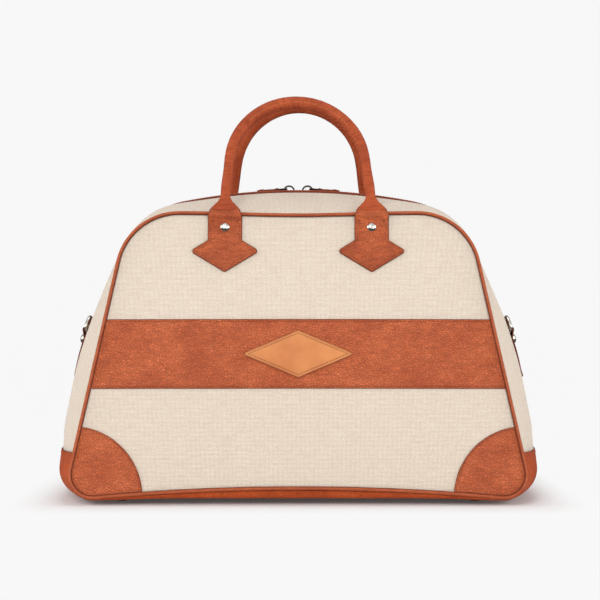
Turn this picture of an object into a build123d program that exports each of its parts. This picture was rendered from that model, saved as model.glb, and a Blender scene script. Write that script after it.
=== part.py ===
from build123d import *
import os
from math import acos, cos, degrees, radians, sin

# A canvas and leather doctor bag. Millimetres, +Z up, front towards -Y.
# The origin is on the floor, under the middle of the base.

# Body
bag_width = 508.0  # across the gussets, at the widest
ridge_height = 321.8  # canvas at the zip, above the floor
base_depth = 230.0  # between the two panels, at the floor
panel_lean = 10.0  # degrees that each panel leans inwards
base_clearance = 5.0  # under the canvas line of the base
canvas = 2.2  # canvas with its interlining

# Outline of a panel, in its own leaning plane
panel_height = 300.0
panel_base = 470.0
panel_top = 350.0
panel_hem = 4.3  # lowest points, at the two lower corners
panel_hollow = 9.0  # how much the hem rises in the middle
panel_shoulder = 64.0  # radius of the upper corners
panel_corner = 24.0  # radius of the lower corners

# Outline of the gusset along the zip, as tangent arcs
crown_radius = 620.0
crown_angle = 11.2  # degrees from the middle to the end of the crown arc
shoulder_angle = 60.0  # where the shoulder arc meets the side arc
side_angle = 85.0  # where the side arc meets the base corner
base_corner = 24.0

# Leather
trim = 1.4  # thickness of sewn-on leather
seam_gap = 0.1  # between pieces that are sewn edge to edge
piping_radius = 1.9
piping_inset = 0.8  # cord's line, inside the panel's outline
piping_stand = 1.2  # cord's line, proud of the canvas
base_wrap = 46.0  # height of the leather base up the sides
base_skin = 0.8  # how far the base leather stands proud of the canvas
band_bottom = 117.0
band_top = 188.0
patch_radius = 80.0
badge_width = 110.0
badge_height = 47.5
badge_level = 152.0
badge_corner = 2.0
badge_thickness = 1.6

# Lining and base board
hardware_room = 1.4  # space for washers between the canvas and the lining
lining_thickness = 0.8
board_thickness = 2.5
board_length = 440.0
board_depth = 168.0
board_corner = 18.0
board_level = 12.2
nut_height = 1.6

# Zip
zip_slot = 7.0  # half of the gap between the two canvas edges
zip_end = 173.0  # height at which the zip runs under the ring tabs
facing_width = 8.0
facing_thickness = 1.3
tape_thickness = 1.0
tape_edge = 1.6  # bead's distance from the middle of the zip
tape_width = 14.4
tooth_pitch = 4.0
tooth_length = 1.5  # along the chain
tooth_reach = 0.9  # past the middle, between two teeth of the other row
tooth_root = 3.3
tooth_height = 2.6
tooth_grip = 0.25  # between a tooth's legs and the tape, which curves away at the shoulders
tooth_spread = 2.0  # how far each row parts between the sliders
parted_to = 6.0  # distance from the middle at which the rows begin to close
closed_from = 14.0  # distance from the middle at which they are closed

# Sliders and pulls
slider_length = 16.0
slider_head = 12.8  # width at the nose
slider_tail = 9.4
slider_plate = 1.8
slider_gap = 0.3  # over and under the teeth
slider_offset = 10.0  # from the middle of the ridge
flange_drop = 0.75
post_width = 1.8
post_length = 3.6
crown_height = 6.0  # above the upper plate
crown_width = 3.0
crown_length = 12.6
crown_wire = 1.7
link_wire = 1.6
link_length = 10.0
link_width = 10.0
link_corner = 1.2
link_level = 2.7  # link's pivot, above the canvas line
link_seat = 2.5  # link's pivot, behind the middle of the slider
pull_length = 22.0
pull_width = 7.4
pull_thickness = 2.2
pull_tilt = 3.5  # degrees down from the crown to the pull's end
pull_rivet = 5.0

# Rings at the ends of the zip
ring_wire = 4.0
ring_half = 13.5
ring_corner = 3.2
ring_level = 172.0
ring_stand = 4.4  # bar's line, off the canvas
ring_tilt = 4.0  # degrees that the ring leans against the zip
tab_width = 19.6
tab_foot = 122.0  # lower end of the ring tab
tab_corner = 8.0
tab_layer = 1.4
stud_diameter = 12.0
stud_height = 4.8
stud_level = 162.5
shank = 3.0
shank_fit = 0.05
washer_diameter = 9.0
washer_thickness = 1.2

# Handles
handle_radius = 75.5
handle_leg = 50.0
handle_roll = 13.4
handle_lean = 22.5  # degrees inwards, at rest
core_diameter = 8.0
neck_height = 14.0
neck_width = 10.4
roll_start = 26.0
fold_gap = 0.6
fold_thickness = 3.2
handle_tab_width = 35.2
handle_tab_shoulder = 8.0
handle_tab_thickness = 2.4
diamond_level = 259.0
diamond_width = 72.0
diamond_height = 44.6
diamond_corner = 3.0
fold_level = 304.0
tab_bridge = 3.3  # height of the tab's bend over the piping
tab_bridge_start = 290.0
tab_bridge_end = 296.5
bend_radius = 3.0
rivet_diameter = 9.3
rivet_dome = 2.2
rivet_level = 284.0

# Feet
foot_diameter = 13.0
foot_flat = 3.0  # radius of the flat that it stands on
foot_x = 180.0
foot_y = 78.0
foot_top = 6.0

lean = radians(panel_lean)
half_width = bag_width / 2
front_origin = (0, -base_depth / 2, 0)
front_plane = Plane(front_origin, x_dir=(1, 0, 0), z_dir=(0, -cos(lean), sin(lean)))
back_plane = Plane((0, base_depth / 2, 0), x_dir=(1, 0, 0), z_dir=(0, -cos(lean), -sin(lean)))


def turned(centre, radius, angle):
    """Point at an angle from straight up, turning towards +X."""
    return (centre[0] + radius * sin(radians(angle)), centre[1] + radius * cos(radians(angle)))


def solve_ridge():
    """Radii of the shoulder and side arcs that join the crown to the base corner."""
    crown, shoulder, side = (radians(a) for a in (crown_angle, shoulder_angle, side_angle))
    corner_level = base_clearance + base_corner
    reach = half_width - base_corner * (1 - sin(side)) - crown_radius * sin(crown)
    drop = corner_level + base_corner * cos(side) - ridge_height
    drop += crown_radius * (1 - cos(crown))
    a1, b1 = sin(shoulder) - sin(crown), sin(side) - sin(shoulder)
    a2, b2 = cos(shoulder) - cos(crown), cos(side) - cos(shoulder)
    scale = a1 * b2 - a2 * b1
    return (reach * b2 - b1 * drop) / scale, (a1 * drop - a2 * reach) / scale


shoulder_radius, side_radius = solve_ridge()
crown_centre = (0.0, ridge_height - crown_radius)
shoulder_centre = turned(crown_centre, crown_radius - shoulder_radius, crown_angle)
side_centre = turned(shoulder_centre, shoulder_radius - side_radius, shoulder_angle)
corner_centre = (half_width - base_corner, base_clearance + base_corner)


def ridge_arc(centre, radius, start, end, side):
    """Arc of the ridge between two angles from straight up; side is 1 or -1."""
    points = [turned(centre, radius, a) for a in (start, (start + end) / 2, end)]
    return ThreePointArc(*[(side * x, z) for x, z in points])


def panel_outline(plane, inset=0.0):
    """Outline of a front or back panel, drawn in from the seam."""
    foot, top = panel_base / 2, panel_top / 2
    with BuildSketch(plane) as outline:
        with BuildLine():
            ThreePointArc((-foot, panel_hem), (0, panel_hem + panel_hollow), (foot, panel_hem))
            Polyline((foot, panel_hem), (top, panel_height), (-top, panel_height), (-foot, panel_hem))
        make_face()
        corners = outline.vertices().group_by(Axis.Y)
        fillet(corners[-1], radius=panel_shoulder)
        fillet(outline.vertices().group_by(Axis.Y)[0], radius=panel_corner)
        if inset:
            offset(amount=-inset)
    return outline.sketch


def ridge_outline(inset=0.0):
    """Outline of the bag in its middle plane, along the zip."""
    floor_x = corner_centre[0]
    floor_z = base_clearance + inset
    with BuildSketch(Plane.XZ) as outline:
        with BuildLine():
            ridge_arc(crown_centre, crown_radius - inset, -crown_angle, crown_angle, 1)
            for side in (1, -1):
                ridge_arc(shoulder_centre, shoulder_radius - inset, crown_angle, shoulder_angle, side)
                ridge_arc(side_centre, side_radius - inset, shoulder_angle, side_angle, side)
                ridge_arc(corner_centre, base_corner - inset, side_angle, 180, side)
            Line((-floor_x, floor_z), (floor_x, floor_z))
        make_face()
    return outline.sketch


def body_form(inset=0.0):
    """Solid of the whole bag, open ended at the two panel planes."""
    with BuildPart() as form:
        loft(
            sections=[
                panel_outline(front_plane, inset).face(),
                ridge_outline(inset).face(),
                panel_outline(back_plane, inset).face(),
            ]
        )
    return form.part


def band_of_space(near, far, low, high):
    """Block between two depths y and two heights, as wide as the bag."""
    with BuildPart() as space:
        with BuildSketch(Plane.YZ):
            with Locations(((near + far) / 2, (low + high) / 2)):
                Rectangle(far - near, high - low)
        extrude(amount=bag_width, both=True)
    return space.part


def angle_at(level):
    """Angle from straight up at which the side arc passes a height."""
    return degrees(acos((level - side_centre[1]) / side_radius))


def side_frame(level, side=1):
    """Plane on the canvas of one side at a height, facing outwards, its x axis up the zip."""
    angle = radians(angle_at(level))
    x, z = turned(side_centre, side_radius, degrees(angle))
    return Plane(
        (side * x, 0, z), x_dir=(-side * cos(angle), 0, sin(angle)), z_dir=(side * sin(angle), 0, cos(angle))
    )


def ridge_frame(distance, depth=0.0):
    """Plane at a distance along the zip from its middle, facing outwards, its x axis along the zip."""
    side = -1 if distance < 0 else 1
    crown_run = crown_radius * radians(crown_angle)
    shoulder_run = shoulder_radius * radians(shoulder_angle - crown_angle)
    run = abs(distance)
    if run <= crown_run:
        centre, radius, angle = crown_centre, crown_radius, degrees(run / crown_radius)
    elif run <= crown_run + shoulder_run:
        centre, radius = shoulder_centre, shoulder_radius
        angle = crown_angle + degrees((run - crown_run) / shoulder_radius)
    else:
        centre, radius = side_centre, side_radius
        angle = shoulder_angle + degrees((run - crown_run - shoulder_run) / side_radius)
    x, z = turned(centre, radius - depth, angle)
    along, out = radians(side * angle), radians(side * angle)
    return Plane((side * x, 0, z), x_dir=(cos(along), 0, -sin(along)), z_dir=(sin(out), 0, cos(out)))


def save(piece, name):
    """Labels a finished piece and writes it under its own name."""
    piece.label = name
    export_step(piece, f"parts/{name}.step")


def save_mirrored(piece, name, about=Plane.XZ):
    """Writes the twin of a piece, on the far side of a plane."""
    with BuildPart() as twin:
        mirror(piece, about=about)
    save(twin.part, name)
    return twin.part


os.makedirs("parts", exist_ok=True)
above = ridge_height + 20.0
outer_form = body_form()
inner_form = body_form(canvas)

# Piping: a leather-covered cord in the seam all round each panel
with BuildPart() as front_piping:
    seam_plane = front_plane.offset(piping_stand)
    seam = panel_outline(seam_plane, piping_inset).face().outer_wire()
    with BuildSketch(Plane(seam @ 0, z_dir=seam % 0)):
        Circle(piping_radius)
    sweep(path=seam)
save(front_piping.part, "front_piping")
back_piping = save_mirrored(front_piping.part, "back_piping")

# Panels, with holes for the handle rivets
rivet_places = [(side * handle_radius, rivet_level) for side in (-1, 1)]
with BuildPart() as front_panel:
    extrude(panel_outline(front_plane, canvas + seam_gap), amount=-canvas)
    add(front_piping.part, mode=Mode.SUBTRACT)
    with BuildSketch(front_plane):
        with Locations(*rivet_places):
            Circle(shank / 2 + shank_fit)
    extrude(amount=-canvas, mode=Mode.SUBTRACT)
save(front_panel.part, "front_panel")
back_panel = save_mirrored(front_panel.part, "back_panel")

# Gussets: the canvas from each panel to the zip, and below it to the middle of the sides
with BuildPart() as gusset_front:
    add(outer_form)
    add(inner_form, mode=Mode.SUBTRACT)
    add(band_of_space(-base_depth, 0, base_wrap, above), mode=Mode.INTERSECT)
    add(band_of_space(-zip_slot, zip_slot, zip_end, above), mode=Mode.SUBTRACT)
    add(front_piping.part, mode=Mode.SUBTRACT)
    add(front_panel.part, mode=Mode.SUBTRACT)
    with BuildSketch(side_frame(stud_level), side_frame(stud_level, -1)):
        Circle(shank / 2 + shank_fit)
    extrude(amount=2 * canvas, both=True, mode=Mode.SUBTRACT)
save(gusset_front.part, "gusset_front")
gusset_back = save_mirrored(gusset_front.part, "gusset_back")

# Leather base: one strip under the bag and up both sides, a little proud of the canvas
foot_places = [(x, y, 0) for x in (-foot_x, foot_x) for y in (-foot_y, foot_y)]
with BuildPart() as base_gusset:
    add(body_form(-base_skin))
    add(inner_form, mode=Mode.SUBTRACT)
    add(band_of_space(-base_depth, base_depth, 0, base_wrap), mode=Mode.INTERSECT)
    for seam_piece in (front_piping.part, back_piping, front_panel.part, back_panel):
        add(seam_piece, mode=Mode.SUBTRACT)
    with Locations(*foot_places):
        Cylinder(shank / 2 + shank_fit, 2 * board_level, mode=Mode.SUBTRACT)
save(base_gusset.part, "base_gusset")

# Stiff board inside the base
with BuildPart() as base_board:
    with BuildSketch(Plane.XY.offset(board_level)):
        RectangleRounded(board_length, board_depth, board_corner)
        with Locations(*foot_places):
            Circle(shank / 2 + shank_fit, mode=Mode.SUBTRACT)
    extrude(amount=board_thickness)
save(base_board.part, "base_board")

# Feet, each with a shank through the base and the board, and the nuts on top
nut_level = board_level + board_thickness
foot_radius = foot_diameter / 2
with BuildPart() as foot:
    with BuildSketch(Plane.XZ):
        with BuildLine():
            ThreePointArc((foot_flat, 0), (foot_radius * 0.83, foot_top * 0.2), (foot_radius, foot_top * 0.55))
            Polyline(
                (foot_radius, foot_top * 0.55),
                (foot_radius, foot_top),
                (shank / 2, foot_top),
                (shank / 2, nut_level + nut_height),
                (0, nut_level + nut_height),
                (0, 0),
                (foot_flat, 0),
            )
        make_face()
    revolve(axis=Axis.Z)
with BuildPart() as feet:
    with Locations(*foot_places):
        add(foot.part)
    add(base_gusset.part, mode=Mode.SUBTRACT)
save(feet.part, "feet")
with BuildPart() as foot_nuts:
    with BuildSketch(Plane.XY.offset(nut_level)):
        with Locations(*foot_places):
            RegularPolygon(washer_diameter / 2, 6)
            Circle(shank / 2 + shank_fit, mode=Mode.SUBTRACT)
    extrude(amount=nut_height)
save(foot_nuts.part, "foot_nuts")

# Lining: a thin fabric bag inside, open along the zip
def cavity(gap):
    """Room inside the bag, drawn in from the canvas and up from the nuts on the board."""
    with BuildPart() as room:
        add(body_form(canvas + gap))
        split(bisect_by=front_plane.offset(-canvas - gap), keep=Keep.BOTTOM)
        split(bisect_by=back_plane.offset(canvas + gap), keep=Keep.TOP)
        split(bisect_by=Plane.XY.offset(nut_level + nut_height + gap - hardware_room), keep=Keep.TOP)
    return room.part


tape_reach = tape_edge + tape_width
lining_slot = tape_reach + seam_gap
with BuildPart() as lining:
    add(cavity(hardware_room))
    add(cavity(hardware_room + lining_thickness), mode=Mode.SUBTRACT)
    add(band_of_space(-lining_slot, lining_slot, zip_end, above), mode=Mode.SUBTRACT)
save(lining.part, "lining")

# Leather sewn on the panels: bands, corner patches and the bare badge
trim_inset = piping_inset + piping_radius + seam_gap
with BuildPart() as front_band:
    with BuildSketch(front_plane):
        add(panel_outline(Plane.XY, trim_inset))
        with Locations((0, (band_bottom + band_top) / 2)):
            Rectangle(panel_base, band_top - band_bottom, mode=Mode.INTERSECT)
    extrude(amount=trim)
save(front_band.part, "front_band")
save_mirrored(front_band.part, "back_band")

with BuildPart() as corner_patch:
    with BuildSketch(front_plane):
        add(panel_outline(Plane.XY, trim_inset))
        with Locations((panel_base / 2, panel_hem)):
            Circle(patch_radius, mode=Mode.INTERSECT)
    extrude(amount=trim)
save(corner_patch.part, "corner_patch_front_right")
patch_left = save_mirrored(corner_patch.part, "corner_patch_front_left", Plane.YZ)
save_mirrored(corner_patch.part, "corner_patch_back_right")
save_mirrored(patch_left, "corner_patch_back_left")

with BuildPart() as badge:
    with BuildSketch(front_plane.offset(trim)) as diamond:
        with Locations((0, badge_level)):
            Polygon((badge_width / 2, 0), (0, badge_height / 2), (-badge_width / 2, 0), (0, -badge_height / 2))
        fillet(diamond.vertices(), radius=badge_corner)
    extrude(amount=badge_thickness)
save(badge.part, "name_patch")

# Zip facings: leather strips along both canvas edges, down to the folds of the ring tabs
bar_bore = ring_wire / 2 + shank_fit
facing_end = ring_level + bar_bore + tab_layer
with BuildPart() as facing_front:
    add(body_form(-facing_thickness))
    add(outer_form, mode=Mode.SUBTRACT)
    add(band_of_space(-zip_slot - facing_width, -zip_slot, facing_end, above), mode=Mode.INTERSECT)
save(facing_front.part, "zip_facing_front")
save_mirrored(facing_front.part, "zip_facing_back")

# Zip tapes under the canvas edges, parted where the sliders meet
tape_form = body_form(canvas + tape_thickness)
parted_edge = tape_edge + tooth_spread + seam_gap
tape_parted, tape_closed = parted_to + tooth_length, closed_from + tooth_length
with BuildPart() as tape_front:
    add(inner_form)
    add(tape_form, mode=Mode.SUBTRACT)
    add(band_of_space(-tape_reach, -tape_edge, zip_end, above), mode=Mode.INTERSECT)
    with BuildSketch(Plane.XY.offset(ridge_height - 2 * crown_height)):
        Polygon(
            (-tape_closed, -tape_edge),
            (-tape_parted, -parted_edge),
            (tape_parted, -parted_edge),
            (tape_closed, -tape_edge),
            align=None,
        )
    extrude(amount=4 * crown_height, mode=Mode.SUBTRACT)
save(tape_front.part, "zip_tape_front")
save_mirrored(tape_front.part, "zip_tape_back")

# Zip teeth: each grips the bead of its tape with two legs and reaches past the
# middle of the zip, between two teeth of the other row
chain_depth = canvas + tape_thickness / 2
leg_slot = tape_thickness / 2 + tooth_grip
tooth_half = tooth_height / 2
with BuildPart() as tooth:
    with BuildSketch(Plane.YZ):
        Polygon(
            (tooth_reach, -tooth_half),
            (tooth_reach, tooth_half),
            (-tooth_root, tooth_half),
            (-tooth_root, leg_slot),
            (seam_gap - tape_edge, leg_slot),
            (seam_gap - tape_edge, -leg_slot),
            (-tooth_root, -leg_slot),
            (-tooth_root, -tooth_half),
            align=None,
        )
    extrude(amount=tooth_length / 2, both=True)

crown_run = crown_radius * radians(crown_angle)
shoulder_run = shoulder_radius * radians(shoulder_angle - crown_angle)
side_run = side_radius * radians(angle_at(zip_end) - shoulder_angle)
tooth_count = int((crown_run + shoulder_run + side_run) / tooth_pitch) - 1


def row_of_teeth(start, side):
    """One row of the chain; side is -1 in front and 1 behind."""
    places = []
    for step in range(-tooth_count, tooth_count + 1):
        distance = step * tooth_pitch + start
        opening = (closed_from - abs(distance)) / (closed_from - parted_to)
        spread = tooth_spread * max(0.0, min(1.0, opening))
        frame = ridge_frame(distance, chain_depth)
        turn = 0 if side < 0 else 180
        places.append(frame.location * Location((0, side * spread, 0), (0, 0, turn)))
    with BuildPart() as row:
        with Locations(*places):
            add(tooth.part)
    return row.part


save(row_of_teeth(0, -1), "zip_teeth_front")
save(row_of_teeth(tooth_pitch / 2, 1), "zip_teeth_back")

# Right slider: two plates over and under the chain, joined by a post at the nose,
# with a crown on top for the pull
slider_frame = ridge_frame(slider_offset)
slider_side = Plane(slider_frame.origin, x_dir=slider_frame.x_dir, z_dir=(0, -1, 0))
upper_plate = tooth_half + slider_gap - chain_depth
lower_plate = -chain_depth - tooth_half - slider_gap
tail_channel = tooth_root + slider_gap
nose_channel = tail_channel + tooth_spread


def slider_plan():
    """Outline of a slider plate: wide at the nose, narrow at the tail."""
    nose, tail = slider_head / 2, slider_tail / 2
    half = slider_length / 2
    with BuildSketch() as plan:
        Polygon((-half, -nose), (0, -nose), (half, -tail), (half, tail), (0, nose), (-half, nose), align=None)
        fillet(plan.vertices().group_by(Axis.X)[0], radius=slider_head / 5)
        fillet(plan.vertices().group_by(Axis.X)[-1], radius=slider_tail / 5)
    return plan.sketch


with BuildPart() as slider_right:
    with BuildSketch(slider_frame.offset(upper_plate)):
        add(slider_plan())
    extrude(amount=slider_plate)
    with BuildSketch(slider_frame.offset(upper_plate)):
        add(slider_plan())
        Polygon(
            (-slider_length, -nose_channel),
            (parted_to - slider_offset, -nose_channel),
            (closed_from - slider_offset, -tail_channel),
            (slider_length, -tail_channel),
            (slider_length, tail_channel),
            (closed_from - slider_offset, tail_channel),
            (parted_to - slider_offset, nose_channel),
            (-slider_length, nose_channel),
            align=None,
            mode=Mode.SUBTRACT,
        )
    extrude(amount=-flange_drop)
    with BuildSketch(slider_frame.offset(lower_plate)):
        add(slider_plan())
    extrude(amount=-slider_plate)
    with BuildSketch(slider_frame.offset(lower_plate)):
        with Locations((-slider_length / 2 + post_length / 2 + seam_gap, 0)):
            SlotOverall(post_length, post_width)
    extrude(amount=upper_plate - lower_plate)
    with BuildSketch(slider_side):
        with Locations((0, upper_plate + slider_plate)):
            Ellipse(crown_length / 2, crown_height)
            Ellipse(crown_length / 2 - crown_wire, crown_height - crown_wire, mode=Mode.SUBTRACT)
        with Locations((0, upper_plate + slider_plate / 2)):
            Rectangle(crown_length, crown_height, align=(Align.CENTER, Align.MAX), mode=Mode.SUBTRACT)
    extrude(amount=crown_width / 2, both=True)
save(slider_right.part, "slider_right")
save_mirrored(slider_right.part, "slider_left", Plane.YZ)

# Pull: a wire link through the crown, and a strip of leather folded round its far bar
pivot = slider_side.from_local_coords((link_seat, link_level, 0))
pull_side = Plane(pivot, x_dir=slider_side.x_dir.rotate(Axis.Y, pull_tilt), z_dir=slider_side.z_dir)
pull_flat = Plane(pivot, x_dir=pull_side.x_dir, z_dir=pull_side.y_dir)
with BuildSketch(pull_flat) as link_line:
    with Locations((link_length / 2, 0)):
        RectangleRounded(link_length, link_width, link_corner)
link_path = link_line.sketch.face().outer_wire()
with BuildPart() as link_right:
    with BuildSketch(Plane(link_path @ 0, z_dir=link_path % 0)):
        Circle(link_wire / 2)
    sweep(path=link_path)
save(link_right.part, "pull_link_right")
save_mirrored(link_right.part, "pull_link_left", Plane.YZ)

eye_bore = link_wire / 2 + shank_fit
rivet_seat = link_length + pull_length - pull_rivet
with BuildPart() as pull_right:
    with BuildSketch(pull_side):
        with Locations((link_length, 0)):
            Circle(eye_bore + pull_thickness / 2)
        with Locations((link_length + pull_length / 2, 0)):
            Rectangle(pull_length, pull_thickness)
        with Locations((link_length, 0)):
            Circle(eye_bore, mode=Mode.SUBTRACT)
    extrude(amount=pull_width / 2, both=True)
    with BuildSketch(pull_flat):
        with Locations((link_length + pull_length / 2 - pull_width / 4, 0)):
            RectangleRounded(pull_length + pull_width / 2, pull_width, pull_width / 3)
        with Locations((rivet_seat, 0)):
            Circle(link_wire / 2 + shank_fit, mode=Mode.SUBTRACT)
    extrude(amount=pull_width, both=True, mode=Mode.INTERSECT)
save(pull_right.part, "pull_right")
save_mirrored(pull_right.part, "pull_left", Plane.YZ)

with BuildPart() as pull_rivet_right:
    with BuildSketch(pull_side):
        for face_side in (1, -1):
            with Locations((rivet_seat, face_side * (pull_thickness / 2 + seam_gap))):
                Rectangle(pull_rivet, link_wire / 2, align=(Align.CENTER, Align.MIN if face_side > 0 else Align.MAX))
        with Locations((rivet_seat, 0)):
            Rectangle(link_wire, pull_thickness + link_wire)
        with Locations((rivet_seat, 0)):
            Rectangle(pull_rivet, 4 * pull_thickness, align=(Align.MAX, Align.CENTER), mode=Mode.SUBTRACT)
    revolve(axis=Axis(pull_side.from_local_coords((rivet_seat, 0, 0)), pull_flat.z_dir))
    fillet(pull_rivet_right.edges().filter_by(GeomType.CIRCLE).group_by(Edge.length)[-1], radius=link_wire / 5)
save(pull_rivet_right.part, "pull_rivet_right")
save_mirrored(pull_rivet_right.part, "pull_rivet_left", Plane.YZ)

# Rings at the ends of the zip: a D of wire in the fold of a leather tab, held by a stud
ring_frame = side_frame(ring_level)
bar_line = ring_frame.from_local_coords((0, 0, ring_stand))
ring_plane = Plane(bar_line, x_dir=ring_frame.x_dir, z_dir=ring_frame.z_dir).rotated((0, ring_tilt, 0))
with BuildSketch(ring_plane) as ring_line:
    Circle(ring_half)
    Rectangle(2 * ring_half, 2 * ring_half, align=(Align.MAX, Align.CENTER), mode=Mode.SUBTRACT)
    fillet(ring_line.vertices(), radius=ring_corner)
ring_path = ring_line.sketch.face().outer_wire()
with BuildPart() as ring_right:
    with BuildSketch(Plane(ring_path @ 0, z_dir=ring_path % 0)):
        Circle(ring_wire / 2)
    sweep(path=ring_path)
save(ring_right.part, "ring_right")
save_mirrored(ring_right.part, "ring_left", Plane.YZ)

stud_frame = side_frame(stud_level)
tab_skin = 2 * tab_layer
with BuildPart() as ring_tab_right:
    add(body_form(-tab_skin))
    add(outer_form, mode=Mode.SUBTRACT)
    with BuildSketch(Plane.YZ) as tab_front:
        with Locations((0, (tab_foot + ring_level) / 2)):
            Rectangle(tab_width, ring_level - tab_foot)
        fillet(tab_front.vertices().group_by(Axis.Y)[0], radius=tab_corner)
    extrude(amount=bag_width, mode=Mode.INTERSECT)
    with BuildSketch(Plane(bar_line, x_dir=ring_frame.x_dir, z_dir=(0, 1, 0))):
        Circle(bar_bore + tab_layer)
    extrude(amount=tab_width / 2, both=True)
    with BuildSketch(Plane(bar_line, x_dir=ring_frame.x_dir, z_dir=(0, 1, 0))):
        Circle(bar_bore)
    extrude(amount=tab_width, both=True, mode=Mode.SUBTRACT)
    with BuildSketch(stud_frame):
        Circle(shank / 2 + shank_fit)
    extrude(amount=2 * tab_skin, both=True, mode=Mode.SUBTRACT)
save(ring_tab_right.part, "ring_tab_right")
save_mirrored(ring_tab_right.part, "ring_tab_left", Plane.YZ)

stud_radius = stud_diameter / 2
stud_profile = Plane(stud_frame.origin, x_dir=stud_frame.y_dir, z_dir=stud_frame.x_dir)
washer_face = -canvas - seam_gap
with BuildPart() as stud_right:
    with BuildSketch(stud_profile):
        with BuildLine():
            ThreePointArc(
                (0, tab_skin + stud_height),
                (stud_radius * 0.72, tab_skin + stud_height * 0.78),
                (stud_radius, tab_skin + stud_height * 0.25),
            )
            Polyline(
                (stud_radius, tab_skin + stud_height * 0.25),
                (stud_radius, tab_skin + seam_gap),
                (shank / 2, tab_skin + seam_gap),
                (shank / 2, washer_face - washer_thickness),
                (0, washer_face - washer_thickness),
                (0, tab_skin + stud_height),
            )
        make_face()
    revolve(axis=Axis(stud_frame.origin, stud_frame.z_dir))
save(stud_right.part, "tab_stud_right")
save_mirrored(stud_right.part, "tab_stud_left", Plane.YZ)

# Handle tabs: leather diamonds on the panels, bent over the piping up to the fold
tab_side = Plane(front_origin, x_dir=front_plane.y_dir, z_dir=(1, 0, 0))
tab_start = diamond_level - diamond_height / 2 - diamond_corner
with BuildPart() as handle_tab:
    with BuildSketch(tab_side):
        with BuildLine():
            lower_face = FilletPolyline(
                (tab_start, 0),
                (tab_bridge_start, 0),
                (tab_bridge_end, tab_bridge),
                (fold_level, tab_bridge),
                radius=bend_radius,
            )
            offset(lower_face, amount=handle_tab_thickness, side=Side.LEFT)
        make_face()
    extrude(amount=2 * handle_radius, both=True)
    with BuildSketch(front_plane) as tab_shape:
        with Locations((handle_radius, diamond_level)):
            Polygon(
                (diamond_width / 2, 0), (0, diamond_height / 2), (-diamond_width / 2, 0), (0, -diamond_height / 2)
            )
        fillet(tab_shape.vertices(), radius=diamond_corner)
        with BuildSketch(mode=Mode.PRIVATE) as tab_body:
            with Locations((handle_radius, (diamond_level + fold_level) / 2)):
                Rectangle(handle_tab_width, fold_level - diamond_level)
            fillet(tab_body.vertices().group_by(Axis.Y)[-1], radius=handle_tab_shoulder)
        add(tab_body.sketch)
        with Locations((handle_radius, rivet_level)):
            Circle(shank / 2 + shank_fit, mode=Mode.SUBTRACT)
    extrude(amount=2 * diamond_height, both=True, mode=Mode.INTERSECT)
save(handle_tab.part, "handle_tab_front_right")
tab_left = save_mirrored(handle_tab.part, "handle_tab_front_left", Plane.YZ)
save_mirrored(handle_tab.part, "handle_tab_back_right")
save_mirrored(tab_left, "handle_tab_back_left")

# Rivets through the tabs and panels, with washers inside
rivet_radius = rivet_diameter / 2
rivet_axis_point = front_plane.from_local_coords((handle_radius, rivet_level, 0))
rivet_profile = Plane(rivet_axis_point, x_dir=(1, 0, 0), z_dir=-front_plane.y_dir)
with BuildPart() as rivet:
    with BuildSketch(rivet_profile):
        with BuildLine():
            ThreePointArc(
                (0, handle_tab_thickness + rivet_dome),
                (rivet_radius * 0.7, handle_tab_thickness + rivet_dome * 0.75),
                (rivet_radius, handle_tab_thickness + rivet_dome * 0.2),
            )
            Polyline(
                (rivet_radius, handle_tab_thickness + rivet_dome * 0.2),
                (rivet_radius, handle_tab_thickness),
                (shank / 2, handle_tab_thickness),
                (shank / 2, washer_face - washer_thickness),
                (0, washer_face - washer_thickness),
                (0, handle_tab_thickness + rivet_dome),
            )
        make_face()
    revolve(axis=Axis(rivet_axis_point, front_plane.z_dir))
with BuildPart() as washer:
    with BuildSketch(front_plane.offset(washer_face)):
        with Locations((handle_radius, rivet_level)):
            Circle(washer_diameter / 2)
            Circle(shank / 2 + shank_fit, mode=Mode.SUBTRACT)
    extrude(amount=-washer_thickness)


def on_four_tabs(piece):
    """A piece of the front right tab, with its twins on the other three."""
    with BuildPart() as group:
        add(piece)
        mirror(about=Plane.YZ)
        mirror(about=Plane.XZ)
    return group.part


save(on_four_tabs(rivet.part), "handle_rivets")
with BuildPart() as stud_washer:
    with BuildSketch(stud_frame.offset(washer_face)):
        Circle(washer_diameter / 2)
        Circle(shank / 2 + shank_fit, mode=Mode.SUBTRACT)
    extrude(amount=-washer_thickness)
    mirror(about=Plane.YZ)
with BuildPart() as washers:
    add(on_four_tabs(washer.part))
    add(stud_washer.part)
save(washers.part, "rivet_washers")

# Handles: leather rolled round a rope core, flattened to a flat fold at each end
fold_point = front_plane.from_local_coords((0, fold_level, tab_bridge + handle_tab_thickness / 2))
tilt = radians(handle_lean)
handle_plane = Plane(fold_point, x_dir=(1, 0, 0), z_dir=(0, -cos(tilt), sin(tilt)))
with BuildPart() as roll:
    with BuildLine(handle_plane) as roll_line:
        Line((-handle_radius, roll_start), (-handle_radius, handle_leg))
        ThreePointArc((-handle_radius, handle_leg), (0, handle_leg + handle_radius), (handle_radius, handle_leg))
        Line((handle_radius, handle_leg), (handle_radius, roll_start))
    with BuildSketch(Plane(roll_line.line @ 0, z_dir=roll_line.line % 0)):
        Circle(handle_roll / 2)
        Circle(core_diameter / 2 + shank_fit, mode=Mode.SUBTRACT)
    sweep(path=roll_line.line)


def leg_plane(side, height):
    """Plane across one leg of the front handle, at a height above its fold."""
    return Plane(
        handle_plane.from_local_coords((side * handle_radius, height, 0)), x_dir=(1, 0, 0), z_dir=handle_plane.y_dir
    )


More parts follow.
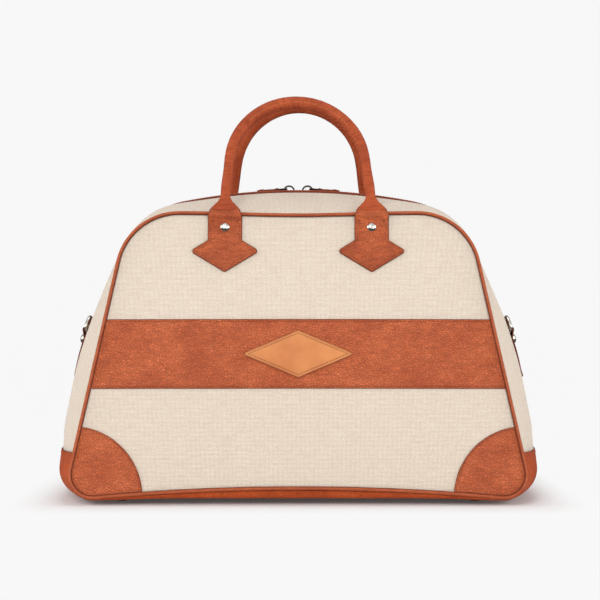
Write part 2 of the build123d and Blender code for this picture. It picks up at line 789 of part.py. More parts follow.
fold_width = handle_tab_width - 2 * handle_tab_shoulder
with BuildPart() as handle_front:
    add(roll.part)
    for leg in (-1, 1):
        with BuildSketch(leg_plane(leg, fold_gap)) as fold:
            Ellipse(fold_width / 2, fold_thickness / 2)
        with BuildSketch(leg_plane(leg, neck_height)) as neck:
            Ellipse(neck_width / 2, neck_width / 2 - 0.2)
        with BuildSketch(leg_plane(leg, roll_start)) as root:
            Circle(handle_roll / 2)
        loft()
save(handle_front.part, "handle_front")
save_mirrored(handle_front.part, "handle_back")

with BuildPart() as core:
    with BuildSketch(Plane(roll_line.line @ 0, z_dir=roll_line.line % 0)):
        Circle(core_diameter / 2)
    sweep(path=roll_line.line)
save(core.part, "handle_core_front")
save_mirrored(core.part, "handle_core_back")
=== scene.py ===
import bmesh
import bpy
from math import atan2, cos, pi, radians, sin, sqrt, tan
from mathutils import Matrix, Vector, noise


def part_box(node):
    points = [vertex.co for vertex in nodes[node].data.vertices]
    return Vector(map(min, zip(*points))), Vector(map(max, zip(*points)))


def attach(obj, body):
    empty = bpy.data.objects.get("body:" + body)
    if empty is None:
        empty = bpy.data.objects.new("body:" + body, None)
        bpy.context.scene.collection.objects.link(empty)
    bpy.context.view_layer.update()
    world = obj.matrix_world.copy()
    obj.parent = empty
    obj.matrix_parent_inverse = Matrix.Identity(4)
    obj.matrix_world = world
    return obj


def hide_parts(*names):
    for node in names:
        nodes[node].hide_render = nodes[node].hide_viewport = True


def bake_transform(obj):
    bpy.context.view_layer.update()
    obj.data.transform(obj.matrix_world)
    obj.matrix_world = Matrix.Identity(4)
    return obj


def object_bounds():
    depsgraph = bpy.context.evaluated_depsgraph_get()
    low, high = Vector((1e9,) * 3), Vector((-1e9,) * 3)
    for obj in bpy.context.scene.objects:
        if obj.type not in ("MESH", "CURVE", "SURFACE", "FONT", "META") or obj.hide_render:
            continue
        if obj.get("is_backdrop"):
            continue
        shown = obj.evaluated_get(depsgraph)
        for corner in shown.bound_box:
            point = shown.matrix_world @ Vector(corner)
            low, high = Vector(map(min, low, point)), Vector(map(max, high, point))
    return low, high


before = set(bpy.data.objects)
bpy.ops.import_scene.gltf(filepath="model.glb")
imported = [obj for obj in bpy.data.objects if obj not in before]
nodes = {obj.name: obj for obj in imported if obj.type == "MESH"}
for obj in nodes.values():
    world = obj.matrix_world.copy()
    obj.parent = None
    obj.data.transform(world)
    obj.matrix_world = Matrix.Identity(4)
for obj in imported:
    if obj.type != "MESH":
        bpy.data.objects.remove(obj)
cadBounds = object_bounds()
mm = 0.001


def say(stage):
    print("doctor bag:", stage)


# camera, floor and lights
view = {"distance": 1.52, "height": 0.205, "angle": 24.0, "aside": 1.8 * mm}
camera = bpy.data.objects.new("camera", bpy.data.cameras.new("camera"))
bpy.context.collection.objects.link(camera)
camera.location = (view["aside"], -view["distance"], view["height"])
camera.rotation_euler = (pi / 2, 0, 0)
camera.data.sensor_width = 36
camera.data.lens = 18 / tan(radians(view["angle"] / 2))
bpy.context.scene.camera = camera
bpy.context.scene.view_settings.view_transform = "Standard"


def tone(red, green, blue):  # a colour as it is seen, made linear
    shares = [c / 255 for c in (red, green, blue)]
    return tuple(c / 12.92 if c <= 0.04045 else ((c + 0.055) / 1.055) ** 2.4 for c in shares) + (1.0,)


def newMaterial(name):
    material = bpy.data.materials.new(name)
    material.use_nodes = True
    material.node_tree.nodes.clear()
    return material, material.node_tree


def addNode(tree, kind, inputs=None, **settings):  # inputs are values, or other nodes' outputs to link
    node = tree.nodes.new(kind)
    for key, value in settings.items():
        setattr(node, key, value)
    for key, value in (inputs or {}).items():
        if isinstance(value, bpy.types.NodeSocket):
            tree.links.new(value, node.inputs[key])
        else:
            node.inputs[key].default_value = value
    return node


def mathNode(tree, operation, first, second=0.0, clamp=False):
    return addNode(tree, "ShaderNodeMath", {0: first, 1: second}, operation=operation, use_clamp=clamp).outputs[0]


def times(tree, first, second):
    return mathNode(tree, "MULTIPLY", first, second)


def plus(tree, first, second):
    return mathNode(tree, "ADD", first, second)


def rest(tree, share):
    return mathNode(tree, "SUBTRACT", 1.0, share)


def mapRange(tree, value, low, high, toLow=0.0, toHigh=1.0):
    limits = {"Value": value, "From Min": low, "From Max": high, "To Min": toLow, "To Max": toHigh}
    return addNode(tree, "ShaderNodeMapRange", limits, interpolation_type="SMOOTHSTEP").outputs[0]


def mixColours(tree, factor, first, second):
    return addNode(tree, "ShaderNodeMix", {0: factor, 6: first, 7: second}, data_type="RGBA").outputs[2]


def paleRay(tree):  # 1 for what the camera sees directly, in metal or through glass
    path = addNode(tree, "ShaderNodeLightPath").outputs
    direct = mathNode(tree, "MAXIMUM", path["Is Camera Ray"], path["Is Glossy Ray"])
    return mathNode(tree, "MAXIMUM", direct, path["Is Transmission Ray"])


def mixShaders(tree, factor, first, second, target):  # ends in the material's or the room's output
    mix = addNode(tree, "ShaderNodeMixShader", {0: factor, 1: first.outputs[0], 2: second.outputs[0]})
    addNode(tree, target, {"Surface": mix.outputs[0]})


stage = {
    "front": -3.2, "back": 2.6, "height": 3.2, "halfWidth": 4.5, "bend": 0.9,
    "paper": tone(248, 248, 248), "paperWithPaintedShadow": tone(222, 222, 222), "paintedReflection": tone(92, 92, 92),
    "underWidth": 0.235, "underDepth": 0.118, "fade": 0.06, "glowUnder": 0.05, "glowAway": 0.985,
}


def makeStage():
    profile = [(stage["front"], 0.0), (-1.0, 0.0), (0.0, 0.0), (1.0, 0.0)]
    for i in range(13):
        angle = i / 12 * pi / 2
        profile.append((stage["back"] - stage["bend"] + stage["bend"] * sin(angle),
                        stage["bend"] - stage["bend"] * cos(angle)))
    profile.append((stage["back"], stage["height"]))
    points, faces = [], []
    for y, z in profile:
        points += [(-stage["halfWidth"], y, z), (stage["halfWidth"], y, z)]
    for i in range(len(profile) - 1):
        faces.append((2 * i, 2 * i + 1, 2 * i + 3, 2 * i + 2))
    mesh = bpy.data.meshes.new("paper_sweep")
    mesh.from_pydata(points, [], faces)
    mesh.polygons.foreach_set("use_smooth", [True] * len(faces))
    sweep = bpy.data.objects.new("paper_sweep", mesh)
    bpy.context.collection.objects.link(sweep)
    material, tree = newMaterial("studio paper")
    # painted shadow: the camera sees the paper darker than the lamps do, so round the bag, where the paper stops
    # glowing, a grey halo is painted over the real shadow
    paper = addNode(tree, "ShaderNodeBsdfDiffuse", {
        "Color": mixColours(tree, paleRay(tree), stage["paper"], stage["paperWithPaintedShadow"])})
    # painted reflection: to glossy rays only, the floor glows dark grey instead of white
    inMetal = addNode(tree, "ShaderNodeLightPath").outputs["Is Glossy Ray"]  # metal shows the floor as grey
    glow = addNode(tree, "ShaderNodeEmission", {"Color": mixColours(tree, inMetal, stage["paper"], stage["paintedReflection"])})
    parts = addNode(tree, "ShaderNodeSeparateXYZ", {0: addNode(tree, "ShaderNodeTexCoord").outputs["Object"]})
    gaps = []
    for axis, reach in (("X", stage["underWidth"]), ("Y", stage["underDepth"])):
        gap = mathNode(tree, "SUBTRACT", mathNode(tree, "ABSOLUTE", parts.outputs[axis]), reach)
        gaps.append(mathNode(tree, "POWER", mathNode(tree, "MAXIMUM", gap, 0.0), 2.0))
    away = mathNode(tree, "SQRT", plus(tree, gaps[0], gaps[1]))
    # away from the bag the paper glows evenly; near it the glow gives way to the darker paper and its painted shadow
    glowShare = mapRange(tree, away, 0.0, stage["fade"], stage["glowUnder"], stage["glowAway"])
    mixShaders(tree, times(tree, paleRay(tree), glowShare), paper, glow, "ShaderNodeOutputMaterial")
    mesh.materials.append(material)
    sweep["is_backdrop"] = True


makeStage()

lights = {
    "key": {"at": (-0.9, -2.3, 1.5), "aim": (0, 0, 0.16), "size": 1.5, "power": 38},
    "fill": {"at": (1.4, -2.3, 0.5), "aim": (0, 0, 0.16), "size": 1.5, "power": 25},
    "left": {"at": (-2.4, -0.5, 0.9), "aim": (0, 0, 0.16), "size": 1.3, "power": 27},
    "right": {"at": (2.4, -0.5, 0.9), "aim": (0, 0, 0.16), "size": 1.3, "power": 27},
    "top": {"at": (0.0, 0.3, 2.2), "aim": (0, 0, 0.2), "size": 1.6, "power": 12},
}
for name, lamp in lights.items():
    data = bpy.data.lights.new(name, "AREA")
    data.size, data.energy = lamp["size"], lamp["power"]
    light = bpy.data.objects.new(name, data)
    bpy.context.collection.objects.link(light)
    light.location = lamp["at"]
    light.rotation_euler = (Vector(lamp["aim"]) - Vector(lamp["at"])).to_track_quat("-Z", "Y").to_euler()

room = {"light": 0.4, "seen": tone(247, 247, 247)}
world = bpy.data.worlds.new("room")
bpy.context.scene.world = world
world.use_nodes = True
roomTree = world.node_tree
roomTree.nodes.clear()
lit = addNode(roomTree, "ShaderNodeBackground", {"Color": (1, 1, 1, 1), "Strength": room["light"]})
seen = addNode(roomTree, "ShaderNodeBackground", {"Color": room["seen"]})
mixShaders(roomTree, paleRay(roomTree), lit, seen, "ShaderNodeOutputWorld")
say("camera, paper and lights are set")


# shared effects
def newGroup(name, kind, inputs, outputs):  # a node group with named sockets; inputs are (name, kind, value)
    group = bpy.data.node_groups.new(name, kind)
    for label, socketKind, value in inputs:
        socket = group.interface.new_socket(name=label, in_out="INPUT", socket_type="NodeSocket" + socketKind)
        if value is not None:
            socket.default_value = value
    for label, socketKind in outputs:
        group.interface.new_socket(name=label, in_out="OUTPUT", socket_type="NodeSocket" + socketKind)
    return group, addNode(group, "NodeGroupInput").outputs


def giveOut(group, **values):
    addNode(group, "NodeGroupOutput", values)
    return group


def noiseNode(tree, vector, scale, detail=2.0, roughness=0.5):
    settings = {"Vector": vector, "Scale": scale, "Detail": detail, "Roughness": roughness}
    return addNode(tree, "ShaderNodeTexNoise", settings).outputs[0]


def stretched(tree, vector, scale, turn=(0.0, 0.0, 0.0)):
    return addNode(tree, "ShaderNodeMapping", {"Vector": vector, "Scale": scale, "Rotation": turn}).outputs[0]


def astray(tree, vector, scale, reach):  # a pattern's place, moved about a little by noise
    drift = addNode(tree, "ShaderNodeTexNoise", {"Vector": vector, "Scale": scale}).outputs["Color"]
    step = addNode(tree, "ShaderNodeVectorMath", {0: drift, "Scale": reach}, operation="SCALE").outputs[0]
    return addNode(tree, "ShaderNodeVectorMath", {0: vector, 1: step}, operation="ADD").outputs[0]


def makePebble():  # rounded pebbles of leather grain, with creases between them and slack folds
    group, source = newGroup(
        "pebbled grain", "ShaderNodeTree", [("Vector", "Vector", None), ("Pebbles", "Float", 520.0)],
        [(label, "Float") for label in ("Height", "Crease", "Patches", "Folds")],
    )
    vector, pebbles = stretched(group, source["Vector"], (0.72, 1.0, 1.0)), source["Pebbles"]
    spot = astray(group, vector, pebbles, 0.0011)
    gap = addNode(group, "ShaderNodeTexVoronoi", {"Vector": spot, "Scale": pebbles},
                  feature="DISTANCE_TO_EDGE").outputs["Distance"]
    folds = noiseNode(group, stretched(group, source["Vector"], (0.34, 1.0, 1.0), (0.0, 0.35, 0.0)), 330.0, 2.0, 0.6)
    fine = times(group, noiseNode(group, vector, 2600.0, 3.0), 0.22)
    fine = plus(group, fine, times(group, folds, 0.9))
    return giveOut(
        group, Height=plus(group, mapRange(group, gap, 0.0, 0.34), fine),
        Crease=rest(group, mapRange(group, gap, 0.0, 0.16)),
        Patches=noiseNode(group, vector, 34.0, 4.0, 0.6), Folds=mapRange(group, folds, 0.34, 0.66),
    )


def makeWeave():  # plain weave of yarns that pass over and under each other, with slubs
    group, source = newGroup(
        "plain weave", "ShaderNodeTree", [("Vector", "Vector", None), ("Yarns", "Float", 1150.0)],
        [(label, "Float") for label in ("Height", "Gap", "Slub", "Weft")],
    )
    vector = source["Vector"]
    parts = addNode(group, "ShaderNodeSeparateXYZ", {0: astray(group, vector, 160.0, 0.0007)})
    turns = times(group, source["Yarns"], pi)
    across, along = [mathNode(group, "SINE", times(group, parts.outputs[axis], turns)) for axis in "XY"]
    over = times(group, across, along)  # positive where the warp is on top
    size = mathNode(group, "ABSOLUTE", over)
    slub = times(group, noiseNode(group, vector, 420.0, 3.0, 0.7), 0.4)
    for scale, share in (((0.07, 1.0, 1.0), 0.36), ((1.0, 0.09, 1.0), 0.24)):
        streak = noiseNode(group, stretched(group, vector, scale), 900.0, 2.0)
        slub = plus(group, slub, times(group, streak, share))
    return giveOut(
        group, Height=mathNode(group, "POWER", size, 0.5), Slub=slub, Weft=mapRange(group, over, 0.3, -0.3),
        Gap=rest(group, mapRange(group, size, 0.0, 0.55)),
    )


def makeEdgePaintAndSeamShade():  # painted and rubbed edges, and the painted seam shade along the piping, from the piece's own rim attribute
    group, source = newGroup(
        "edge paint and seam shade", "ShaderNodeTree", [("Colour", "Color", None), ("Paint", "Color", None), ("Vector", "Vector", None)],
        [("Colour", "Color")],
    )
    rim = addNode(group, "ShaderNodeAttribute", attribute_name="rim").outputs["Fac"]
    rub = mapRange(group, noiseNode(group, source["Vector"], 300.0, 3.0), 0.2, 0.75, 0.75, 1.0)
    mask = mathNode(group, "MULTIPLY", rim, rub, True)
    return giveOut(group, Colour=mixColours(group, mask, source["Colour"], source["Paint"]))


pebbleGroup, weaveGroup, edgePaintAndSeamShadeGroup = makePebble(), makeWeave(), makeEdgePaintAndSeamShade()


def place(tree, kind="Object"):  # where a pattern is read
    if kind == "UV":
        return addNode(tree, "ShaderNodeUVMap", uv_map="lay").outputs[0]
    return addNode(tree, "ShaderNodeTexCoord").outputs["Object"]


def useGroup(tree, group, **values):
    return addNode(tree, "ShaderNodeGroup", values, node_tree=group).outputs


def finishSurface(tree, colour, roughness, height, lift, **plain):
    sockets = {label.replace("_", " "): value for label, value in plain.items()}
    bump = addNode(tree, "ShaderNodeBump", {"Distance": lift, "Height": height})
    sockets.update({"Base Color": colour, "Roughness": roughness, "Normal": bump.outputs[0]})
    surface = addNode(tree, "ShaderNodeBsdfPrincipled", sockets)
    addNode(tree, "ShaderNodeOutputMaterial", {"Surface": surface.outputs[0]})


def clouded(tree, share, look, low=0.3, high=0.7):  # a look's colour and its darker shade
    return mixColours(tree, mapRange(tree, share, low, high), look["colour"], look["shade"])


def painted(tree, spot, colour, look):  # with painted and rubbed edges, and painted seam shade along the piping
    return useGroup(tree, edgePaintAndSeamShadeGroup, Vector=spot, Colour=colour, Paint=look["paint"])["Colour"]


def grainedLeather(name, look):
    material, tree = newMaterial(name)
    spot = place(tree)
    grain = useGroup(tree, pebbleGroup, Vector=spot, Pebbles=look["pebbles"])
    colour = clouded(tree, grain["Patches"], look)
    slack = rest(tree, grain["Folds"])
    # painted shade: the creases between pebbles and the low sides of the slack folds are darkened towards the dark tone
    for share, strength in ((slack, look["paintedFoldShade"]), (grain["Crease"], look["paintedCreaseShade"])):
        colour = mixColours(tree, times(tree, share, strength), colour, look["dark"])
    worn = painted(tree, spot, colour, look)
    rough = mapRange(tree, grain["Height"], 0.1, 1.1, look["rough"] + 0.16, look["rough"])
    finishSurface(tree, worn, rough, grain["Height"], look["lift"], Specular_IOR_Level=look["gloss"])
    return material


# dark is the tone of the painted shade in creases, folds and crinkles
leatherLook = {
    "colour": tone(204, 105, 60), "shade": tone(180, 84, 45), "dark": tone(104, 38, 14), "paint": tone(104, 42, 20),
    "pebbles": 470.0, "paintedCreaseShade": 0.62, "paintedFoldShade": 0.26, "lift": 0.0008, "rough": 0.46, "gloss": 0.28,
}
bandLeather = grainedLeather("pebbled leather", leatherLook)
baseLeather = grainedLeather("base leather", dict(
    leatherLook, colour=tone(194, 86, 36), shade=tone(168, 68, 25), pebbles=560.0, paintedCreaseShade=0.6, lift=0.0004,
    rough=0.56, gloss=0.16,
))
trimLeather = grainedLeather("fine leather", dict(
    leatherLook, colour=tone(200, 101, 56), shade=tone(172, 80, 42), pebbles=640.0, paintedCreaseShade=0.72, paintedFoldShade=0.4,
    lift=0.0005, gloss=0.24,
))
# painted shade: a darker copy of the leather, for the shade along the zip ridge on its facings and pulls
zipShadedLeather = grainedLeather("zip leather with painted shade", dict(
    leatherLook, colour=tone(150, 68, 38), shade=tone(120, 50, 26), pebbles=640.0, paintedCreaseShade=0.7, lift=0.0004,
    gloss=0.22,
))
pipingLeather = grainedLeather("piping leather", dict(
    leatherLook, colour=tone(180, 90, 50), shade=tone(160, 76, 40), pebbles=900.0, paintedCreaseShade=0.5, lift=0.0002,
    gloss=0.24,
))


def makeHandleLeather():  # drawn tight over the roll, with crinkles across it
    look = dict(leatherLook, colour=tone(165, 75, 39), shade=tone(137, 55, 27), crinkles=520.0, paintedCrinkleShade=0.45,
                lift=0.0007, gloss=0.16)
    material, tree = newMaterial("rolled leather")
    spot = place(tree, "UV")
    grain = useGroup(tree, pebbleGroup, Vector=spot, Pebbles=900.0)
    crinkle = noiseNode(tree, stretched(tree, spot, (1.0, 0.16, 1.0)), look["crinkles"], 3.0, 0.6)
    colour = clouded(tree, grain["Patches"], look)
    # painted shade: the low sides of the crinkles are darkened towards the dark tone
    crinkled = times(tree, mapRange(tree, crinkle, 0.54, 0.34), look["paintedCrinkleShade"])
    colour = mixColours(tree, crinkled, colour, look["dark"])
    worn = painted(tree, spot, colour, look)
    height = plus(tree, crinkle, times(tree, grain["Height"], 0.25))
    finishSurface(tree, worn, mapRange(tree, crinkle, 0.3, 0.7, 0.66, 0.5), height, look["lift"],
                  Specular_IOR_Level=look["gloss"])
    return material


handleLeather = makeHandleLeather()


def makeBadgeLeather():
    look = {"colour": tone(190, 120, 63), "shade": tone(174, 100, 45), "paint": tone(116, 56, 26), "clouds": 30.0}
    material, tree = newMaterial("veg tan leather")
    spot = place(tree)
    pores, clouds = noiseNode(tree, spot, 1900.0, 3.0, 0.65), noiseNode(tree, spot, look["clouds"], 3.0, 0.5)
    colour = clouded(tree, clouds, look)
    # painted shade: the pores are darkened a little towards the darker tone
    colour = mixColours(tree, mapRange(tree, pores, 0.42, 0.25, 0.0, 0.35), colour, look["shade"])
    worn = painted(tree, spot, colour, look)
    finishSurface(tree, worn, mapRange(tree, clouds, 0.3, 0.7, 0.52, 0.42), pores, 0.00012, Specular_IOR_Level=0.4)
    return material


badgeLeather = makeBadgeLeather()


def makeCanvas(name, look):
    material, tree = newMaterial(name)
    weave = useGroup(tree, weaveGroup, Vector=place(tree, "UV"), Yarns=look["yarns"])
    colour = clouded(tree, weave["Slub"], look, 0.36, 0.64)
    # painted shade: cells where the weft lies on top are darkened as if they took the light less, and the gaps between
    # the yarns are darkened towards the dark tone
    for share, strength, tint in (("Weft", "paintedWeftShade", "weftPaintedShade"), ("Gap", "paintedGapShade", "dark")):
        colour = mixColours(tree, times(tree, weave[share], look[strength]), colour, look[tint])
    height = plus(tree, weave["Height"], times(tree, weave["Slub"], 0.8))
    finishSurface(tree, colour, 0.86, height, look["lift"], Specular_IOR_Level=0.2, Sheen_Weight=0.15,
                  Sheen_Roughness=0.5)
    return material


# the weft and dark tones are the painted shade of the weave
canvasCloth = makeCanvas("cream canvas", {
    "colour": tone(243, 233, 221), "shade": tone(223, 207, 192), "weftPaintedShade": tone(205, 187, 166), "paintedWeftShade": 0.7,
    "dark": tone(154, 132, 106), "yarns": 780.0, "paintedGapShade": 0.6, "lift": 0.0005,
})
tapeCloth = makeCanvas("zip tape cloth", {
    "colour": tone(128, 66, 40), "shade": tone(108, 52, 30), "weftPaintedShade": tone(96, 46, 26), "paintedWeftShade": 0.3,
    "dark": tone(60, 28, 16), "yarns": 1500.0, "paintedGapShade": 0.6, "lift": 0.0002,
})


def makeMetal(name, look):
    material, tree = newMaterial(name)
    spot = place(tree)
    dull = noiseNode(tree, spot, 130.0, 4.0, 0.6)
    hairlines = noiseNode(tree, stretched(tree, spot, (1.0, 0.12, 0.3)), 3200.0, 2.0)
    colour = clouded(tree, dull, look, 0.35, 0.75)
    rough = mapRange(tree, dull, 0.3, 0.75, look["rough"], look["rough"] + 0.12)
    finishSurface(tree, colour, rough, hairlines, 0.00002, Metallic=1.0)
    return material


nickel = makeMetal("polished nickel", {"colour": tone(196, 192, 184), "shade": tone(170, 165, 156), "rough": 0.16})
darkNickel = makeMetal("dark nickel", {"colour": tone(70, 68, 65), "shade": tone(50, 49, 47), "rough": 0.26})


def makePlain(name, colour, shade, fibres, rough, lift=0.0001, stretch=(1, 1, 1)):  # thread, lining, board and rope
    material, tree = newMaterial(name)
    strands = noiseNode(tree, stretched(tree, place(tree), stretch), fibres, 3.0)
    mixed = clouded(tree, strands, {"colour": tone(*colour), "shade": tone(*shade)})
    finishSurface(tree, mixed, rough, strands, lift, Specular_IOR_Level=0.3)
    return material


darkThread = makePlain("dark waxed thread", (104, 44, 22), (80, 32, 15), 2600.0, 0.55)
tanThread = makePlain("russet thread", (164, 76, 42), (138, 58, 30), 2600.0, 0.6)
honeyThread = makePlain("honey thread", (202, 132, 72), (178, 104, 52), 2600.0, 0.6)
liningCloth = makePlain("cotton lining", (196, 176, 146), (178, 156, 124), 1200.0, 0.85, stretch=(1, 0.2, 1))
fibreBoard = makePlain("fibre board", (132, 112, 88), (108, 90, 70), 700.0, 0.8, 0.0002, (0.3, 1, 1))
cottonRope = makePlain("cotton rope", (214, 202, 178), (186, 172, 146), 900.0, 0.9, 0.0004, (0.3, 1, 1))
say("materials are mixed")


# the bag's own shape
bag = {
    "width": 508 * mm, "ridge": 321.8 * mm, "depth": 230 * mm, "lean": radians(10),
    "crown": 620 * mm, "crownTurn": radians(11.2), "shoulderTurn": radians(60), "sideTurn": radians(85),
    "corner": 24 * mm, "clearance": 5 * mm,
    "panelHeight": 300 * mm, "panelFoot": 235 * mm, "panelTop": 175 * mm, "hem": 4.3 * mm, "hollow": 12.3 * mm,
    "panelShoulder": 64 * mm, "panelCorner": 24 * mm, "baseTop": 46 * mm, "baseLift": 2.8 * mm, "baseRise": 3.4 * mm,
    "canvas": 2.2 * mm, "dip": 2.4 * mm, "tuck": 0.008, "tuckFrom": 150 * mm, "tuckOver": 60 * mm,
}


def turned(centre, radius, angle):  # angle from straight up
    return (centre[0] + radius * sin(angle), centre[1] + radius * cos(angle))


def ridgeRuns():  # the middle outline: crown, shoulder, side, lower corner and floor run
    crownCentre = (0.0, bag["ridge"] - bag["crown"])
    a, b, c = bag["crownTurn"], bag["shoulderTurn"], bag["sideTurn"]
    foot = (bag["width"] / 2 - bag["corner"], bag["clearance"] + bag["corner"])
    # crownCentre + (crown - r)a + (r - q)b + (q - corner)c = foot, for the two radii r and q
    right = [foot[i] - crownCentre[i] - bag["crown"] * (sin(a), cos(a))[i] + bag["corner"] * (sin(c), cos(c))[i]
             for i in (0, 1)]
    m = ((sin(b) - sin(a), sin(c) - sin(b)), (cos(b) - cos(a), cos(c) - cos(b)))
    det = m[0][0] * m[1][1] - m[0][1] * m[1][0]
    shoulder = (right[0] * m[1][1] - m[0][1] * right[1]) / det
    side = (m[0][0] * right[1] - right[0] * m[1][0]) / det
    shoulderCentre = turned(crownCentre, bag["crown"] - shoulder, a)
    sideCentre = turned(shoulderCentre, shoulder - side, b)
    return [
        ("arc", crownCentre, bag["crown"], 0.0, a), ("arc", shoulderCentre, shoulder, a, b),
        ("arc", sideCentre, side, b, c), ("arc", foot, bag["corner"], c, pi),
        ("line", (foot[0], bag["clearance"]), (0.0, bag["clearance"])),
    ]


def panelRuns():  # the same five runs on a panel, in its own plane
    top, foot, height = bag["panelTop"], bag["panelFoot"], bag["panelHeight"]
    slope = atan2(foot - top, height - bag["hem"])
    normal = pi / 2 - slope
    r = bag["panelShoulder"]
    upper = (top - r * tan((pi / 2 - slope) / 2), height - r)
    hemRadius = (foot ** 2 + bag["hollow"] ** 2) / (2 * bag["hollow"])
    hemCentre = (0.0, bag["hem"] + bag["hollow"] - hemRadius)
    q = bag["panelCorner"]
    start = (foot - q * sin(normal), bag["hem"] - q * cos(normal))
    up = (-sin(slope), cos(slope))
    gap = (start[0] - hemCentre[0], start[1] - hemCentre[1])
    along = gap[0] * up[0] + gap[1] * up[1]
    rest = gap[0] ** 2 + gap[1] ** 2 - (hemRadius + q) ** 2
    rise = -along + sqrt(along ** 2 - rest)
    lower = (start[0] + up[0] * rise, start[1] + up[1] * rise)
    end = atan2(lower[0] - hemCentre[0], lower[1] - hemCentre[1])
    return [
        ("line", (0.0, height), (upper[0], height)), ("arc", upper, r, 0.0, normal),
        ("line", turned(upper, r, normal), turned(lower, q, normal)), ("arc", lower, q, normal, pi + end),
        ("arc", hemCentre, hemRadius, end, 0.0),
    ]


def onRun(runs, s):  # a point of an outline; s is 0 at the middle of the top and 5 at the middle of the foot
    i = min(int(s), 4)
    share = s - i
    run = runs[i]
    if run[0] == "line":
        return tuple(run[1][k] + (run[2][k] - run[1][k]) * share for k in (0, 1))
    return turned(run[1], run[2], run[3] + (run[4] - run[3]) * share)


ridgeLine, panelLine = ridgeRuns(), panelRuns()
leanSin, leanCos = sin(bag["lean"]), cos(bag["lean"])


def onPanelLine(s):  # the panel's outline, whose top edge dips between the handles
    x, v = onRun(panelLine, s)
    return x, v - bag["dip"] * smoothStep(1 - s)


def bagPoint(s, w):  # the canvas; w runs from -1 at the front panel to 1 at the back one, s is below 0 on the left
    side = -1 if s < 0 else 1
    s = min(abs(s), 5.0)
    fx, v = onPanelLine(s)
    rx, rz = onRun(ridgeLine, s)
    rx *= 1 - bag["tuck"] * smoothStep((bag["tuckFrom"] - rz) / bag["tuckOver"])
    fz, k = v * leanCos, w * w
    return Vector((side * (fx * k + rx * (1 - k)), w * (bag["depth"] / 2 - v * leanSin), fz * k + rz * (1 - k)))


def bagNormal(s, w):
    along = bagPoint(s + 0.01, w) - bagPoint(s - 0.01, w)
    if abs(s) < 0.02:
        along = Vector((1, 0, 0))
    across = bagPoint(s, w + 0.01) - bagPoint(s, w - 0.01)
    return along.cross(across).normalized()


def bagSkin(s, w, n=0.0):
    return bagPoint(s, w) + bagNormal(s, w) * n


def shareAt(s, y):  # w of a line at a set distance from the middle plane
    v = onPanelLine(min(abs(s), 5.0))[1]
    return y / (bag["depth"] / 2 - v * leanSin)


def levelAt(z, w):  # s at which the canvas passes a height
    low, high = 0.5, 3.95
    for _ in range(30):
        middle = (low + high) / 2
        if bagPoint(middle, w).z > z:
            low = middle
        else:
            high = middle
    return low


def baseTopAt(w):  # the leather base's upper edge climbs towards the panels
    return bag["baseTop"] + bag["baseLift"] + bag["baseRise"] * w * w


def panelHalf(v):  # half of the panel's width at a level
    share = (v - bag["hem"]) / (bag["panelHeight"] - bag["hem"])
    return bag["panelFoot"] + (bag["panelTop"] - bag["panelFoot"]) * share


soft = {"belly": 2.6 * mm, "ripple": 1.0 * mm, "reach": 255 * mm, "hold": 4 * mm}


def belly(x, v):  # how far the panel's canvas stands out of its plane
    if v <= 0 or v >= soft["reach"]:
        return 0.0
    wide = max(0.0, 1 - (x / (panelHalf(v) - soft["hold"])) ** 2)
    ripple = noise.noise(Vector((x * 9, v * 13, 3.1))) * soft["ripple"]
    return wide * sin(pi * v / soft["reach"]) * (soft["belly"] + ripple)


def onPanel(side):  # side is -1 for the front and 1 for the back
    def lay(x, v, n):
        n += belly(-side * x, v)
        return Vector((x, side * (bag["depth"] / 2 - v * leanSin + n * leanCos), v * leanCos + n * leanSin))
    return lay


def smoothStep(t):
    t = max(0.0, min(1.0, t))
    return t * t * (3 - 2 * t)


# mesh helpers
sides = (("front", -1), ("back", 1))
hands = (("right", 1), ("left", -1))


def finishPiece(piece, body, slot, material, *replaced):
    piece.data.materials.clear()
    piece.data.materials.append(material)
    piece.data.polygons.foreach_set("use_smooth", [True] * len(piece.data.polygons))
    if replaced:
        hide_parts(*replaced)
    if body:
        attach(piece, body)
    return piece


def newPiece(name, points, faces, uvs=None, rims=None, edges=()):
    mesh = bpy.data.meshes.new(name)
    mesh.from_pydata(points, edges, faces)
    if uvs:
        layer = mesh.uv_layers.new(name="lay")
        for loop in mesh.loops:
            layer.data[loop.index].uv = uvs[loop.vertex_index]
    if rims:
        mesh.attributes.new("rim", "FLOAT", "POINT").data.foreach_set("value", rims)
    mesh.update()
    piece = bpy.data.objects.new(name, mesh)
    bpy.context.collection.objects.link(piece)
    return piece


def gridFaces(rows, columns, closed=False, offset=0):
    faces = []
    for i in range(rows - 1):
        for j in range(columns if closed else columns - 1):
            k = (j + 1) % columns
            faces.append((offset + i * columns + j, offset + i * columns + k,
                          offset + (i + 1) * columns + k, offset + (i + 1) * columns + j))
    return faces


def turnOut(piece):  # joins the points that closed corners share, and turns the faces outwards
    work = bmesh.new()
    work.from_mesh(piece.data)
    bmesh.ops.remove_doubles(work, verts=work.verts, dist=0.03 * mm)
    bmesh.ops.recalc_face_normals(work, faces=work.faces)
    work.to_mesh(piece.data)
    work.free()


